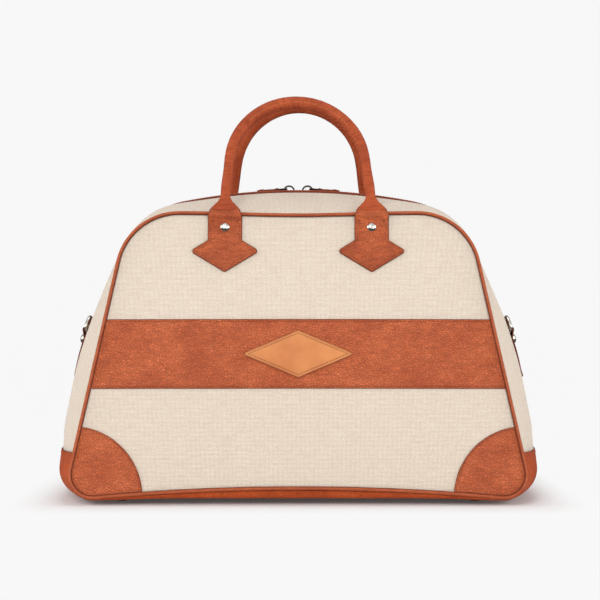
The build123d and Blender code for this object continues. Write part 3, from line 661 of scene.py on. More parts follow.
def roundedOutline(corners, step=2.5 * mm):  # corners are (x, y, radius), anticlockwise
    outline = []
    count = len(corners)
    for i, (x, y, radius) in enumerate(corners):
        here = Vector((x, y))
        before = (Vector(corners[i - 1][:2]) - here).normalized()
        after = (Vector(corners[(i + 1) % count][:2]) - here).normalized()
        half = before.angle(after) / 2
        middle = here + (before + after).normalized() * (radius / sin(half))
        start, end = [here + way * (radius / tan(half)) - middle for way in (before, after)]
        pieces = max(2, int((pi - 2 * half) * radius / (0.6 * mm)) + 1)
        for k in range(pieces + 1):
            outline.append(middle + start.lerp(end, k / pieces).normalized() * radius)
    full = []
    for i, point in enumerate(outline):
        following = outline[(i + 1) % len(outline)]
        parts = max(1, round((following - point).length / step))
        full += [point.lerp(following, k / parts) for k in range(parts)]
    return full


def drawnIn(outline, inset):  # moved inwards by a set distance; edges that would turn round close up
    count = len(outline)
    runs = [(outline[(i + 1) % count] - outline[i]).normalized() for i in range(count)]
    inward = [Vector((-run.y, run.x)) for run in runs]
    kept = list(range(count))
    while True:
        moved = [None] * count
        for k, i in enumerate(kept):
            last = kept[k - 1]
            turn = runs[last].cross(runs[i])
            if abs(turn) < 0.02:
                between = inward[last] + inward[i]
                corner = outline[i] + between * (inset / max(0.5, 1 + inward[last].dot(inward[i])))
            else:
                start = outline[last] + inward[last] * inset
                gap = outline[i] + inward[i] * inset - start
                corner = start + runs[last] * (gap.cross(runs[i]) / turn)
            for j in range(last + 1, i + 1 if i > last else i + 1 + count):
                moved[j % count] = corner
        closed = {i for i in kept if (moved[(i + 1) % count] - moved[i]).dot(runs[i]) < 0}
        if not closed:
            return moved
        kept = [i for i in kept if i not in closed]


edgeCut = {"under": 0.5, "flat": 0.7 * mm, "grooveHalf": 0.6 * mm, "grooveDepth": 0.22 * mm}


def cutPiece(name, outline, centre, lay, thickness, base=0.0, fold=0.35, groove=0.0, rings=10):
    # a flat piece of leather or cloth: its edge is rounded, with a groove under its stitches
    # steps are (inset, height, paint)
    steps = [(0.0, 0.0, 1.0), (0.0, 0.6 * thickness, 1.0), (0.12 * thickness, 0.88 * thickness, 0.95),
             (fold * thickness, thickness, 0.7), (fold * thickness + edgeCut["flat"], thickness, 0.15)]
    if groove:
        steps += [(groove - edgeCut["grooveHalf"], thickness, 0.0),
                  (groove, thickness - edgeCut["grooveDepth"], 0.12),
                  (groove + edgeCut["grooveHalf"], thickness, 0.0)]
    points, uvs, rims = [], [], []
    middle = Vector(centre)

    def put(spot, height, rim):
        points.append(lay(spot.x, spot.y, base + height))
        uvs.append((spot.x, spot.y))
        rims.append(rim)

    inner = drawnIn(outline, edgeCut["under"] * thickness)
    for spot in inner:
        put(spot, 0.0, 1.0)
    for inset, height, rim in steps:
        inner = drawnIn(outline, inset)
        for spot in inner:
            put(spot, height, rim)
    for k in range(1, rings):
        share = 1 - k / rings
        for spot in inner:
            put(middle + (spot - middle) * share, thickness, 0.0)
    count = len(outline)
    rows = len(points) // count
    faces = gridFaces(rows, count, closed=True)
    put(middle, thickness, 0.0)
    put(middle, 0.0, 0.0)
    for first, hub in (((rows - 1) * count, len(points) - 2), (0, len(points) - 1)):
        faces += [(first + j, first + (j + 1) % count, hub) for j in range(count)]
    piece = newPiece(name, points, faces, uvs, rims)
    turnOut(piece)
    return piece


def tubeAlong(name, stations, around=24, power=2.0, closed=False, seamShade=0.0):
    # stations are (centre, across, out, half width, half thickness); the section is a soft rectangle
    points, uvs, rims = [], [], []
    travel, previous = 0.0, None
    for centre, across, out, halfWidth, halfThick in stations:
        travel += (centre - previous).length if previous is not None else 0.0
        previous = centre
        for j in range(around):
            angle = 2 * pi * j / around
            a, b = cos(angle), sin(angle)
            a = (abs(a) ** (2 / power)) * (1 if a >= 0 else -1)
            b = (abs(b) ** (2 / power)) * (1 if b >= 0 else -1)
            points.append(centre + across * (a * halfWidth) + out * (b * halfThick))
            uvs.append((travel, j / around * 2.6 * (halfWidth + halfThick)))
            edge = 1.0 if power > 3 and abs(a) > 0.985 else 0.0
            # painted shade: where a seam's cord meets the cloth on both sides, the rim attribute darkens it as shade in
            # the seam
            seamShadeSides = (smoothStep((-a - 0.3) / 0.4), 0.5 * smoothStep((a - 0.7) / 0.3))
            rims.append(max(edge, seamShade * max(seamShadeSides)))
    count = len(stations)
    faces = gridFaces(count, around, closed=True)
    if closed:
        last = (count - 1) * around
        faces += [(last + j, last + (j + 1) % around, (j + 1) % around, j) for j in range(around)]
    else:
        for first, station in ((0, stations[0]), ((count - 1) * around, stations[-1])):
            faces += [(first + (j + 1) % around, first + j, len(points)) for j in range(around)]
            points.append(station[0])
            uvs.append(uvs[first])
            rims.append(1.0 if power > 3 else 0.0)
    piece = newPiece(name, points, faces, uvs, rims)
    turnOut(piece)
    return piece


# stitches, laid by geometry nodes
def makeStitchTree():
    tree, source = newGroup("row of stitches", "GeometryNodeTree", [
        ("Line", "Geometry", None), ("Spacing", "Float", 3.2 * mm), ("Length", "Float", 2.4 * mm),
        ("Thickness", "Float", 0.6 * mm), ("Slant", "Float", 0.0), ("Thread", "Material", None),
    ], [("Stitches", "Geometry")])

    def step(kind, inputs=None, **settings):
        return addNode(tree, kind, inputs, **settings).outputs[0]

    line = step("GeometryNodeMeshToCurve", {"Mesh": source["Line"]})
    line = step("GeometryNodeResampleCurve", {"Curve": line, "Length": source["Spacing"]}, mode="LENGTH")
    size = step("ShaderNodeCombineXYZ", {"X": source["Length"], "Y": source["Thickness"], "Z": source["Thickness"]})
    turn = step("ShaderNodeCombineXYZ", {"Z": source["Slant"]})
    stitch = step("GeometryNodeMeshUVSphere", {"Segments": 7, "Rings": 5, "Radius": 0.5})
    for change in ({"Scale": size}, {"Rotation": turn}):
        stitch = step("GeometryNodeTransform", {"Geometry": stitch, **change})
    stitch = step("GeometryNodeSetShadeSmooth", {"Geometry": stitch})
    outward = step("GeometryNodeInputNamedAttribute", {"Name": "outward"}, data_type="FLOAT_VECTOR")
    facing = step("FunctionNodeAxesToRotation", {0: step("GeometryNodeInputTangent"), 1: outward},
                  primary_axis="X", secondary_axis="Z")
    row = step("GeometryNodeInstanceOnPoints", {"Points": line, "Instance": stitch, "Rotation": facing})
    row = step("GeometryNodeRealizeInstances", {"Geometry": row})
    return giveOut(tree, Stitches=step("GeometryNodeSetMaterial", {"Geometry": row, "Material": source["Thread"]}))


stitchTree = makeStitchTree()


def sewLines(name, lines, body, thread, sizes, closed=False, slant=0.0):
    # each line is a list of (point, outward); sizes are a stitch's spacing, length and thickness in mm
    points, edges, outwards = [], [], []
    for line in lines:
        first = len(points)
        for point, out in line:
            points.append(point)
            outwards += list(out)
        edges += [(first + k, first + k + 1) for k in range(len(line) - 1)]
        if closed:
            edges.append((len(points) - 1, first))
    piece = newPiece(name, points, [], edges=edges)
    piece.data.attributes.new("outward", "FLOAT_VECTOR", "POINT").data.foreach_set("vector", outwards)
    modifier = piece.modifiers.new("stitches", "NODES")
    modifier.node_group = stitchTree
    values = {label: size * mm for label, size in zip(("Spacing", "Length", "Thickness"), sizes)}
    values.update({"Slant": slant, "Thread": thread})
    for item in stitchTree.interface.items_tree:
        if item.name in values:
            modifier[item.identifier] = values[item.name]
    bpy.context.view_layer.update()
    ready = bpy.data.meshes.new_from_object(piece.evaluated_get(bpy.context.evaluated_depsgraph_get()))
    piece.modifiers.clear()
    piece.data = ready
    piece.data.name = name
    return finishPiece(piece, body, "leather", thread)


def followOutline(spots, lay, height):  # a line for stitches through (x, v) of a panel's plane
    line = []
    for x, v in spots:
        point = lay(x, v, height)
        line.append((point, (lay(x, v, height + mm) - point).normalized()))
    return line


def skinLine(spots, lift):  # a line for stitches through (s, w) of the canvas
    return [(bagSkin(s, w, lift), bagNormal(s, w)) for s, w in spots]


def roundEnd(half, radius, left):  # a strap's half width at a distance from its rounded end
    return half - radius + sqrt(max(0.0, radius ** 2 - max(0.0, radius - left) ** 2))


say("helpers are ready")


# canvas panels, one at the front and one at the back
def panelOutline(inset, step=5 * mm):
    lengths = (130, 76, 254, 44, 213)  # of the five runs, in mm
    half = []
    for run, length in enumerate(lengths):
        parts = max(4, round(length * mm / (step if run in (0, 2, 4) else step * 0.5)))
        half += [run + k / parts for k in range(parts)]
    left = [(s, -1) for s in half] + [(5.0, 1)]
    right = [(s, 1) for s in reversed(half[1:])]
    outline = []
    for s, side in left + right:
        x, v = onPanelLine(s)
        outline.append(Vector((side * x, v)))
    return drawnIn(outline, inset) if inset else outline


panelCut = {"inset": 2.4 * mm, "middle": (0, 150 * mm), "fold": 0.2, "rings": 30}
for word, side in sides:
    panel = cutPiece(f"{word}_canvas", panelOutline(panelCut["inset"]), panelCut["middle"], onPanel(side),
                     bag["canvas"], base=-bag["canvas"], fold=panelCut["fold"], rings=panelCut["rings"])
    finishPiece(panel, "bag", "canvas", canvasCloth, f"{word}_panel")
say("panels are cut")


# canvas gussets, from each panel to the zip and down the sides
gusset = {
    "slot": 7.6 * mm, "closedBelow": 178 * mm, "columns": 16, "lowRows": 20, "under": 1.5 * mm, "sag": 1.6 * mm,
    "swell": 2.6 * mm, "ripple": 0.9 * mm, "freeOver": 30 * mm,
}


def makeGusset(word, side):
    closed = levelAt(gusset["closedBelow"], 0)  # the slot for the zip is open above it
    half = [k / 14 for k in range(14)] + [1 + k / 16 for k in range(16)]
    half += [2 + (closed - 2) * k / 12 for k in range(12)]
    columns, lowRows = gusset["columns"], gusset["lowRows"]
    total = len(half) + lowRows + 1
    signs = [(-1, i) for i in range(total - 1, 0, -1)] + [(1, i) for i in range(total)]
    points, uvs, index = [], [], {}
    run, previous = 0.0, None

    def rowLevel(i, share):
        if i < len(half):
            return half[i]
        ends = levelAt(baseTopAt(share) - gusset["under"], side * share)
        return closed + (ends - closed) * (i - len(half)) / lowRows

    for row, (sign, i) in enumerate(signs):
        here = bagPoint(sign * rowLevel(i, 0), 0)
        run += (here - previous).length if previous is not None else 0.0
        previous = here
        for j in range(columns + 2):
            near = min(j / (columns - 1), 1.0)
            s = rowLevel(i, 1 - near)
            inner = shareAt(s, gusset["slot"])
            w = 1 - (1 - inner) * near
            if j >= columns:  # below the slot the canvas goes on to the middle
                if i < len(half):
                    break
                w = inner * (columns + 1 - j) / 2
            spot = bagPoint(sign * s, side * w)
            crest = sin(pi * near) * smoothStep((spot.z - baseTopAt(w)) / gusset["freeOver"])
            ripple = noise.noise(spot * 17) * gusset["ripple"] * crest
            lift = (gusset["sag"] + gusset["swell"]) * smoothStep((s - 0.7) / 0.7) - gusset["sag"]
            index[row, j] = len(points)
            points.append(spot + bagNormal(sign * s, side * w) * (ripple + lift * crest))
            uvs.append((run, spot.y))
    faces = []
    for row in range(len(signs) - 1):
        for j in range(columns + 1):
            corners = [index.get(key) for key in ((row, j), (row, j + 1), (row + 1, j + 1), (row + 1, j))]
            if None not in corners:
                faces.append(corners)
    piece = newPiece(f"{word}_gusset_canvas", points, faces, uvs)
    faceAway(piece, Vector((0, 0, 0.12)))
    addThickness(piece, bag["canvas"])
    return finishPiece(piece, "bag", "canvas", canvasCloth, f"gusset_{word}")


def faceAway(piece, inside):  # turns an open shell's faces away from a point
    total = sum((face.center - inside).dot(face.normal) for face in piece.data.polygons)
    if total < 0:
        piece.data.flip_normals()


def addThickness(piece, thickness):
    shell = piece.modifiers.new("thickness", "SOLIDIFY")
    shell.thickness, shell.offset, shell.use_even_offset = thickness, -1.0, False


for word, side in sides:
    makeGusset(word, side)
say("gussets are sewn in")


# leather base, one strip under the bag and up both sides
base = {
    "proud": 0.8 * mm, "sideProud": 0.8 * mm, "thickness": 2.8 * mm, "columns": 47, "rows": 46, "turn": 0.055,
    "flatFrom": 3.3, "edgeLift": 2.0 * mm, "edgeFrom": 0.76, "stitch": 3.4 * mm, "seamTo": 0.955,
    "seamLift": 1.7 * mm, "thread": (3.3, 2.5, 0.62),
    # the rolled edge: below the top, out of the canvas, and how much paint is on it
    "lips": ((0.0, -0.4, 1.0), (0.0, 0.8, 1.0), (0.3, 1.3, 0.9), (0.8, 1.6, 0.55), (1.7, 1.6, 0.0)),
}


def basePoint(s, w):  # below the sides the leather turns down from the hem to a flat floor
    spot = bagPoint(s, w)
    share = min(1.0, (1 - abs(w)) / base["turn"])
    flat = sqrt(share * (2 - share)) * smoothStep((abs(s) - base["flatFrom"]) / 0.7)
    edge = smoothStep((abs(w) - base["edgeFrom"]) / 0.2) * smoothStep((abs(s) - 3.9) / 0.5)
    floor = onRun(ridgeLine, min(abs(s), 5.0))[1] + base["edgeLift"] * edge
    spot.z += (floor - spot.z) * flat
    return spot


def makeBase():
    points, rims = [], []
    columns, rows = base["columns"], base["rows"]
    for sign in (1, -1):
        block = []
        for j in range(columns):
            w = -cos(pi * j / (columns - 1))  # closer together near the two hems
            column = [(levelAt(baseTopAt(w) - drop * mm, w), rise * mm, rim) for drop, rise, rim in base["lips"]]
            start = column[-1][0]
            for k in range(1, rows + 1):
                s = start + (5.0 - start) * k / rows
                extra = base["sideProud"] * (1 - smoothStep((s - base["flatFrom"]) / 0.5))
                column.append((s, base["proud"] + extra, 0.0))
            block.append([(basePoint(sign * s, w) + bagNormal(sign * min(s, 4.98), w) * n, rim)
                          for s, n, rim in column])
        count = len(block[0])
        for i in range(count) if sign > 0 else range(count - 2, -1, -1):
            points += [column[i][0] for column in block]
            rims += [column[i][1] for column in block]
    faces = gridFaces(len(points) // columns, columns)
    piece = newPiece("leather_base", points, faces, None, rims)
    faceAway(piece, Vector((0, 0, 0.06)))
    addThickness(piece, base["thickness"])
    return finishPiece(piece, "bag", "leather", baseLeather, "base_gusset")


makeBase()
baseLines = []
for sign in (1, -1):
    shares = [base["seamTo"] * (j / 30 - 1) for j in range(61)]
    baseLines.append(skinLine([(sign * levelAt(baseTopAt(w) - base["stitch"], w), w) for w in shares],
                              base["seamLift"]))
sewLines("base_stitches", baseLines, "bag", tanThread, base["thread"])
say("leather base is sewn on")


# leather sewn on the panels: bands and corner patches
trim = {
    "thickness": 1.4 * mm, "inset": 2.5 * mm, "bandLow": 117 * mm, "bandHigh": 188 * mm, "bandCorner": 0.6 * mm,
    "stitch": 2.3 * mm, "seamShort": 1.5 * mm, "patch": 72.5 * mm, "patchIn": 7.5 * mm, "patchUp": 2.5 * mm,
    "patchStitch": 1.9 * mm, "middleIn": 33 * mm, "middleUp": 36 * mm, "seamLift": 1.35 * mm,
    "thread": (2.9, 1.9, 0.6),
}


def cornerPatch(side):  # a corner's outline, and the line of its stitches
    corner = Vector((bag["panelFoot"] - trim["patchIn"], bag["hem"] + trim["patchUp"]))
    inner = drawnIn(panelOutline(0, 2.5 * mm), trim["inset"])
    outline = [p for p in inner if (p - corner).length < trim["patch"]]
    start, end = [atan2(p.y - corner.y, p.x - corner.x) % (2 * pi) for p in (outline[-1], outline[0])]
    seam = []
    for k in range(45):
        angle = start + (end - start) * k / 44
        spoke = Vector((cos(angle), sin(angle)))
        outline.append(corner + spoke * trim["patch"])
        seam.append(corner + spoke * (trim["patch"] - trim["patchStitch"]))
    if side < 0:
        outline = [Vector((-p.x, p.y)) for p in reversed(outline)]
    return outline, [(side * p.x, p.y) for p in seam[1:-1]]


for word, side in sides:
    lay = onPanel(side)
    low, high, inset = trim["bandLow"], trim["bandHigh"], trim["inset"]
    corners = [(sign * (panelHalf(level) - inset), level, trim["bandCorner"])
               for sign, level in ((-1, low), (1, low), (1, high), (-1, high))]
    band = cutPiece(f"{word}_leather_band", roundedOutline(corners, 4 * mm), (0, (low + high) / 2), lay,
                    trim["thickness"], groove=trim["stitch"], rings=16)
    finishPiece(band, "bag", "leather", bandLeather, f"{word}_band")
    lines = []
    for level in (low + trim["stitch"], high - trim["stitch"]):
        reach = panelHalf(level) - inset - trim["seamShort"]
        lines.append(followOutline([(reach * (k / 60 - 1), level) for k in range(121)], lay, trim["seamLift"]))
    for hand, sign in hands:
        outline, seam = cornerPatch(sign)
        centre = (sign * (bag["panelFoot"] - trim["middleIn"]), bag["hem"] + trim["middleUp"])
        patch = cutPiece(f"corner_leather_{word}_{hand}", outline, centre, lay, trim["thickness"],
                         groove=trim["patchStitch"], rings=12)
        finishPiece(patch, "bag", "leather", bandLeather, f"corner_patch_{word}_{hand}")
        lines.append(followOutline(seam, lay, trim["seamLift"]))
    sewLines(f"{word}_trim_stitches", lines, "bag", darkThread, trim["thread"])


# the bare badge in the middle of the front band
badge = {
    "level": 152 * mm, "halfWidth": 57.5 * mm, "halfHeight": 24.5 * mm, "corner": 2 * mm, "thickness": 1.6 * mm,
    "stitch": 2.9 * mm, "seamLift": 2.92 * mm, "thread": (2.5, 1.7, 0.8),
}
wide, tall, level = badge["halfWidth"], badge["halfHeight"], badge["level"]
badgeOutline = roundedOutline([(x, level + rise, badge["corner"])
                               for x, rise in ((-wide, 0), (0, -tall), (wide, 0), (0, tall))], 1.6 * mm)
diamond = cutPiece("bare_badge", badgeOutline, (0, level), onPanel(-1), badge["thickness"],
                   base=trim["thickness"], groove=badge["stitch"], rings=12)
finishPiece(diamond, "bag", "patch_leather", badgeLeather, "name_patch")
badgeSeam = followOutline(drawnIn(badgeOutline, badge["stitch"]), onPanel(-1), badge["seamLift"])
sewLines("badge_stitches", [badgeSeam], "bag", darkThread, badge["thread"], closed=True)
say("bands, corners and badge are sewn on")


# piping in the seam round each panel
piping = {"radius": 1.9 * mm, "inset": 0.8 * mm, "stand": 1.2 * mm, "pucker": 0.03}


for word, side in sides:
    lay = onPanel(side)
    outline = drawnIn(panelOutline(0, 3 * mm), piping["inset"])
    stations = []
    for spot, away in zip(outline, drawnIn(outline, -1 * mm)):
        centre = lay(spot.x, spot.y, piping["stand"])
        across = (lay(away.x, away.y, piping["stand"]) - centre).normalized()
        out = (lay(spot.x, spot.y, piping["stand"] + mm) - centre).normalized()
        radius = piping["radius"] * (1 + piping["pucker"] * noise.noise(centre * 90))
        stations.append((centre, across, out, radius, radius))
    # the piping's sides that meet the canvas are darkened as painted seam shade
    cord = tubeAlong(f"{word}_leather_piping", stations, closed=True, seamShade=1.0)
    finishPiece(cord, "bag", "leather", pipingLeather, f"{word}_piping")
say("piping is in")


# zip: leather facings on the canvas edges and woven tapes under them
zipParts = {
    "facingLow": 7 * mm, "facingHigh": 15 * mm, "facingEnd": 175.5 * mm, "facingSunk": 0.4 * mm,
    "facingHalf": 1.7 * mm, "seams": (8.5 * mm, 13.4 * mm), "seamEnd": 177.5 * mm, "seamLift": 1.32 * mm,
    "thread": (3.2, 2.4, 0.55), "tapeEdge": 1.65 * mm, "tapeOut": 9 * mm, "tapeDepth": 2.7 * mm,
    "tapeThick": 0.9 * mm, "parted": 3.75 * mm, "partedTo": 7.5 * mm, "closedFrom": 15.5 * mm, "tapeEnd": 173.5 * mm,
}


def alongRidge(endLevel, fine=False):  # s along the zip, closer together in the middle where it can part
    end, start = levelAt(endLevel, 0), 1 / 6
    half = [k / 120 for k in range(20)] if fine else [k / 24 for k in range(4)]
    half += [start + (1 - start) * k / 20 for k in range(20)] + [1 + k / 18 for k in range(18)]
    half += [2 + (end - 2) * k / 14 for k in range(15)]
    return [-s for s in reversed(half[1:])] + half


def ridgeStation(s, y, n, halfWidth, halfThick):
    w = shareAt(s, y)
    out = bagNormal(s, w)
    across = (bagPoint(s, w + 0.01) - bagPoint(s, w - 0.01)).normalized()
    return (bagPoint(s, w) + out * n, across, out, halfWidth, halfThick)


for word, side in sides:
    low, high = zipParts["facingLow"], zipParts["facingHigh"]
    stations = [ridgeStation(s, side * (low + high) / 2, -zipParts["facingSunk"], (high - low) / 2,
                             zipParts["facingHalf"]) for s in alongRidge(zipParts["facingEnd"])]
    facing = tubeAlong(f"{word}_leather_facing", stations, around=20, power=7)
    finishPiece(facing, "bag", "leather", zipShadedLeather, f"zip_facing_{word}")
    lines = [skinLine([(s, shareAt(s, side * y)) for s in alongRidge(zipParts["seamEnd"])], zipParts["seamLift"])
             for y in zipParts["seams"]]
    sewLines(f"{word}_facing_stitches", lines, "bag", tanThread, zipParts["thread"])
    stations = []
    for s in alongRidge(zipParts["tapeEnd"], fine=True):
        d = abs(s) * bag["crown"] * bag["crownTurn"]
        share = max(0.0, min(1.0, (zipParts["closedFrom"] - d) / (zipParts["closedFrom"] - zipParts["partedTo"])))
        edge = zipParts["tapeEdge"] + (zipParts["parted"] - zipParts["tapeEdge"]) * share
        stations.append(ridgeStation(s, side * (edge + zipParts["tapeOut"]) / 2, -zipParts["tapeDepth"],
                                     (zipParts["tapeOut"] - edge) / 2, zipParts["tapeThick"] / 2))
    tape = tubeAlong(f"{word}_woven_tape", stations, around=16, power=6)
    finishPiece(tape, "bag", "zip_tape", tapeCloth, f"zip_tape_{word}")
say("zip facings and tapes are in")


# leather tabs that carry the handles
tab = {
    "place": 75.5 * mm, "thickness": 2.4 * mm, "half": 17.6 * mm, "neck": 14 * mm, "fold": 304 * mm,
    "shoulder": 297 * mm, "middle": 264 * mm, "diamondLevel": 259 * mm, "diamondHalf": 36 * mm,
    "diamondRise": 22.3 * mm, "bridge": 3.3 * mm, "bridgeFrom": 290 * mm, "bridgeTo": 296.5 * mm,
    "stitch": 2.9 * mm, "sewnTo": 288 * mm, "thread": (2.7, 1.9, 0.66),
}


def tabLay(side, x0):
    lay = onPanel(side)

    def over(x, v, n):
        rise = smoothStep((v - tab["bridgeFrom"]) / (tab["bridgeTo"] - tab["bridgeFrom"]))
        return lay(x0 + x, v, n + tab["bridge"] * rise)
    return over


level, wide, tall = tab["diamondLevel"], tab["diamondHalf"], tab["diamondRise"]
join = level + tall * (1 - tab["half"] / wide)
halfTab = [(tab["neck"], tab["fold"], 0.4 * mm), (tab["half"], tab["shoulder"], 5 * mm),
           (tab["half"], join, 1.6 * mm), (wide, level, 3 * mm)]
tabOutline = roundedOutline([(-x, v, radius) for x, v, radius in halfTab] + [(0, level - tall, 3 * mm)]
                            + halfTab[::-1], 1.1 * mm)
for word, side in sides:
    lines = []
    for hand, sign in hands:
        lay = tabLay(side, sign * tab["place"])
        piece = cutPiece(f"tab_leather_{word}_{hand}", tabOutline, (0, tab["middle"]), lay, tab["thickness"],
                         fold=0.3, rings=30)
        finishPiece(piece, "bag", "leather", trimLeather, f"handle_tab_{word}_{hand}")
        seam = [spot for spot in drawnIn(tabOutline, tab["stitch"]) if spot.y < tab["sewnTo"]]
        lines.append(followOutline(seam, lay, tab["thickness"]))
    sewLines(f"{word}_tab_stitches", lines, "bag", darkThread, tab["thread"])
say("handle tabs are sewn on")


# rolled handles, from the flat fold through the neck to the round grip
handle = {
    "radius": 75.5 * mm, "leg": 50 * mm, "lean": radians(22.5), "step": 1.1 * mm, "over": 3 * mm,
    # from the fold on, in mm: distance, half width and half thickness
    "section": ((-3, 16.2, 1.24), (0, 14.0, 1.3), (3.5, 10.8, 1.9), (7, 7.4, 3.0), (12, 5.1, 4.6), (17, 5.3, 5.1),
                (26, 5.7, 5.7), (45, 5.5, 5.5), (90, 6.1, 6.1), (140, 6.5, 6.5)),
    "crinkle": 0.16 * mm, "foldNormal": 4.9 * mm, "reach": 125.5 * mm,
    "front": {"pinch": 0.066, "swing": -2.4 * mm, "drop": 1.6 * mm},
    "back": {"pinch": 0.085, "swing": 1.0 * mm, "drop": 1.0 * mm},
    "blendFrom": 1.2 * mm, "blendTo": 7 * mm, "seamFrom": 30 * mm, "seamTurns": (-pi / 2 - 0.5, -pi / 2 + 0.5),
    "thread": (3.4, 2.5, 0.6), "whipTurn": -0.4, "whipThread": (2.1, 1.9, 0.5), "whipSlant": 1.45, "sunk": 0.05 * mm,
}


def rollSize(p):  # the roll's half width and half thickness
    table = handle["section"]
    p = min(max(p / mm, table[0][0]), table[-1][0])
    last, here = next((a, b) for a, b in zip(table, table[1:]) if p <= b[0])
    share = (p - last[0]) / (here[0] - last[0])
    share = 0.6 * smoothStep(share) + 0.4 * share
    return [(a + (b - a) * share) * mm for a, b in zip(last[1:], here[1:])]


def handleFrame(side):
    fold = onPanel(side)(0, tab["fold"], handle["foldNormal"])
    turn = handle["lean"]
    return fold, Vector((0, -side * sin(turn), cos(turn))), Vector((0, side * cos(turn), sin(turn)))


def handleStation(side, p):  # p is the distance along the roll from the right fold
    fold, up, out = handleFrame(side)
    r, leg = handle["radius"], handle["leg"]
    arch = pi * r
    total = 2 * leg + arch
    near = p if p < total / 2 else total - p
    if p < leg:
        x, t, along = r, p, Vector((0, 1))
    elif p < leg + arch:
        angle = (p - leg) / r
        x, t, along = r * cos(angle), leg + r * sin(angle), Vector((-sin(angle), cos(angle)))
    else:
        x, t, along = -r, total - p, Vector((0, -1))
    if t < 0:
        up = Vector((0, -side * leanSin, leanCos))
        out = Vector((0, side * leanCos, leanSin))
    else:  # the soft roll is drawn in over its middle and hangs a little to one side
        worn = handle["front" if side < 0 else "back"]
        x = x * (1 - worn["pinch"] * smoothStep(t / (0.5 * handle["reach"]))) + worn["swing"] * t / handle["reach"]
        t -= worn["drop"] * smoothStep(t / handle["reach"])
    across = Vector((along.y, 0, 0)) + up * -along.x
    centre = fold + Vector((x, 0, 0)) + up * t
    bend = 1.0 if leg < p < leg + arch else 0.4
    rough = noise.noise(Vector((p * 420, side * 3.3, 0))) + 0.6 * noise.noise(Vector((p * 900, side, 4)))
    crease = handle["crinkle"] * rough * bend * smoothStep((near / mm - 4) / 14)
    halfWidth, halfThick = rollSize(near)
    return (centre, across, out, halfWidth + crease, halfThick + crease * 0.6)


def makeHandle(word, side):
    total = 2 * handle["leg"] + pi * handle["radius"]
    full = total + 2 * handle["over"]
    count = int(full / handle["step"])
    stations = [handleStation(side, full * k / count - handle["over"]) for k in range(count + 1)]
    piece = tubeAlong(f"{word}_rolled_handle", stations, around=36, power=2.15)
    finishPiece(piece, None, "leather", handleLeather, f"handle_{word}", f"handle_core_{word}")
    fold, up, _ = handleFrame(side)
    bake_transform(piece)

    def onRoll(p, turn, lift):
        centre, across, outward, half, _ = handleStation(side, p)
        toward = (across * sin(turn) + outward * cos(turn)).normalized()
        return centre + toward * (half + lift), toward

    first = handle["seamFrom"]
    seams = [[onRoll(first + (total - 2 * first) * k / 160, turn, handle["sunk"]) for k in range(161)]
             for turn in handle["seamTurns"]]
    sewLines(f"{word}_handle_stitches", seams, f"handle_{word}", darkThread, handle["thread"])
    # the joint on the face of the arch is whipped with short cross stitches
    joint = [onRoll(total * (0.3 + 0.38 * k / 80), handle["whipTurn"], -handle["sunk"]) for k in range(81)]
    sewLines(f"{word}_arch_whipping", [joint], f"handle_{word}", honeyThread, handle["whipThread"],
             slant=handle["whipSlant"])


for word, side in sides:
    makeHandle(word, side)
say("handles are rolled")


# side tabs: a strap folded round the ring's bar, closed by the stud
strap = {
    "foot": 122 * mm, "bar": 172 * mm, "stand": 4.4 * mm, "half": 9.8 * mm, "round": 8 * mm, "layer": 1.4 * mm,
    "wrap": 2.9 * mm, "filler": 0.9 * mm, "curl": {"right": 1.6 * mm, "left": 0.5 * mm}, "outerTop": 163.5 * mm,
    "innerLevels": (166.5, 162, 157, 150, 140, 130, 124), "curlOver": 7.8 * mm, "fillOver": 41.5 * mm,
    "seamIn": 2 * mm, "seamTop": 156 * mm, "thread": (2.9, 2.2, 0.55),
}


def smoothPath(corners, step):  # an even path through points
    full = []
    count = len(corners)
    for i in range(count - 1):
        a, b, c, d = (corners[max(i - 1, 0)], corners[i], corners[i + 1], corners[min(i + 2, count - 1)])
        parts = max(2, round((c - b).length / step))
        for k in range(parts):
            t = k / parts
            full.append(0.5 * ((2 * b) + (c - a) * t + (2 * a - 5 * b + 4 * c - d) * t * t
                               + (3 * b - a - 3 * c + d) * t ** 3))
    return full + [corners[-1]]


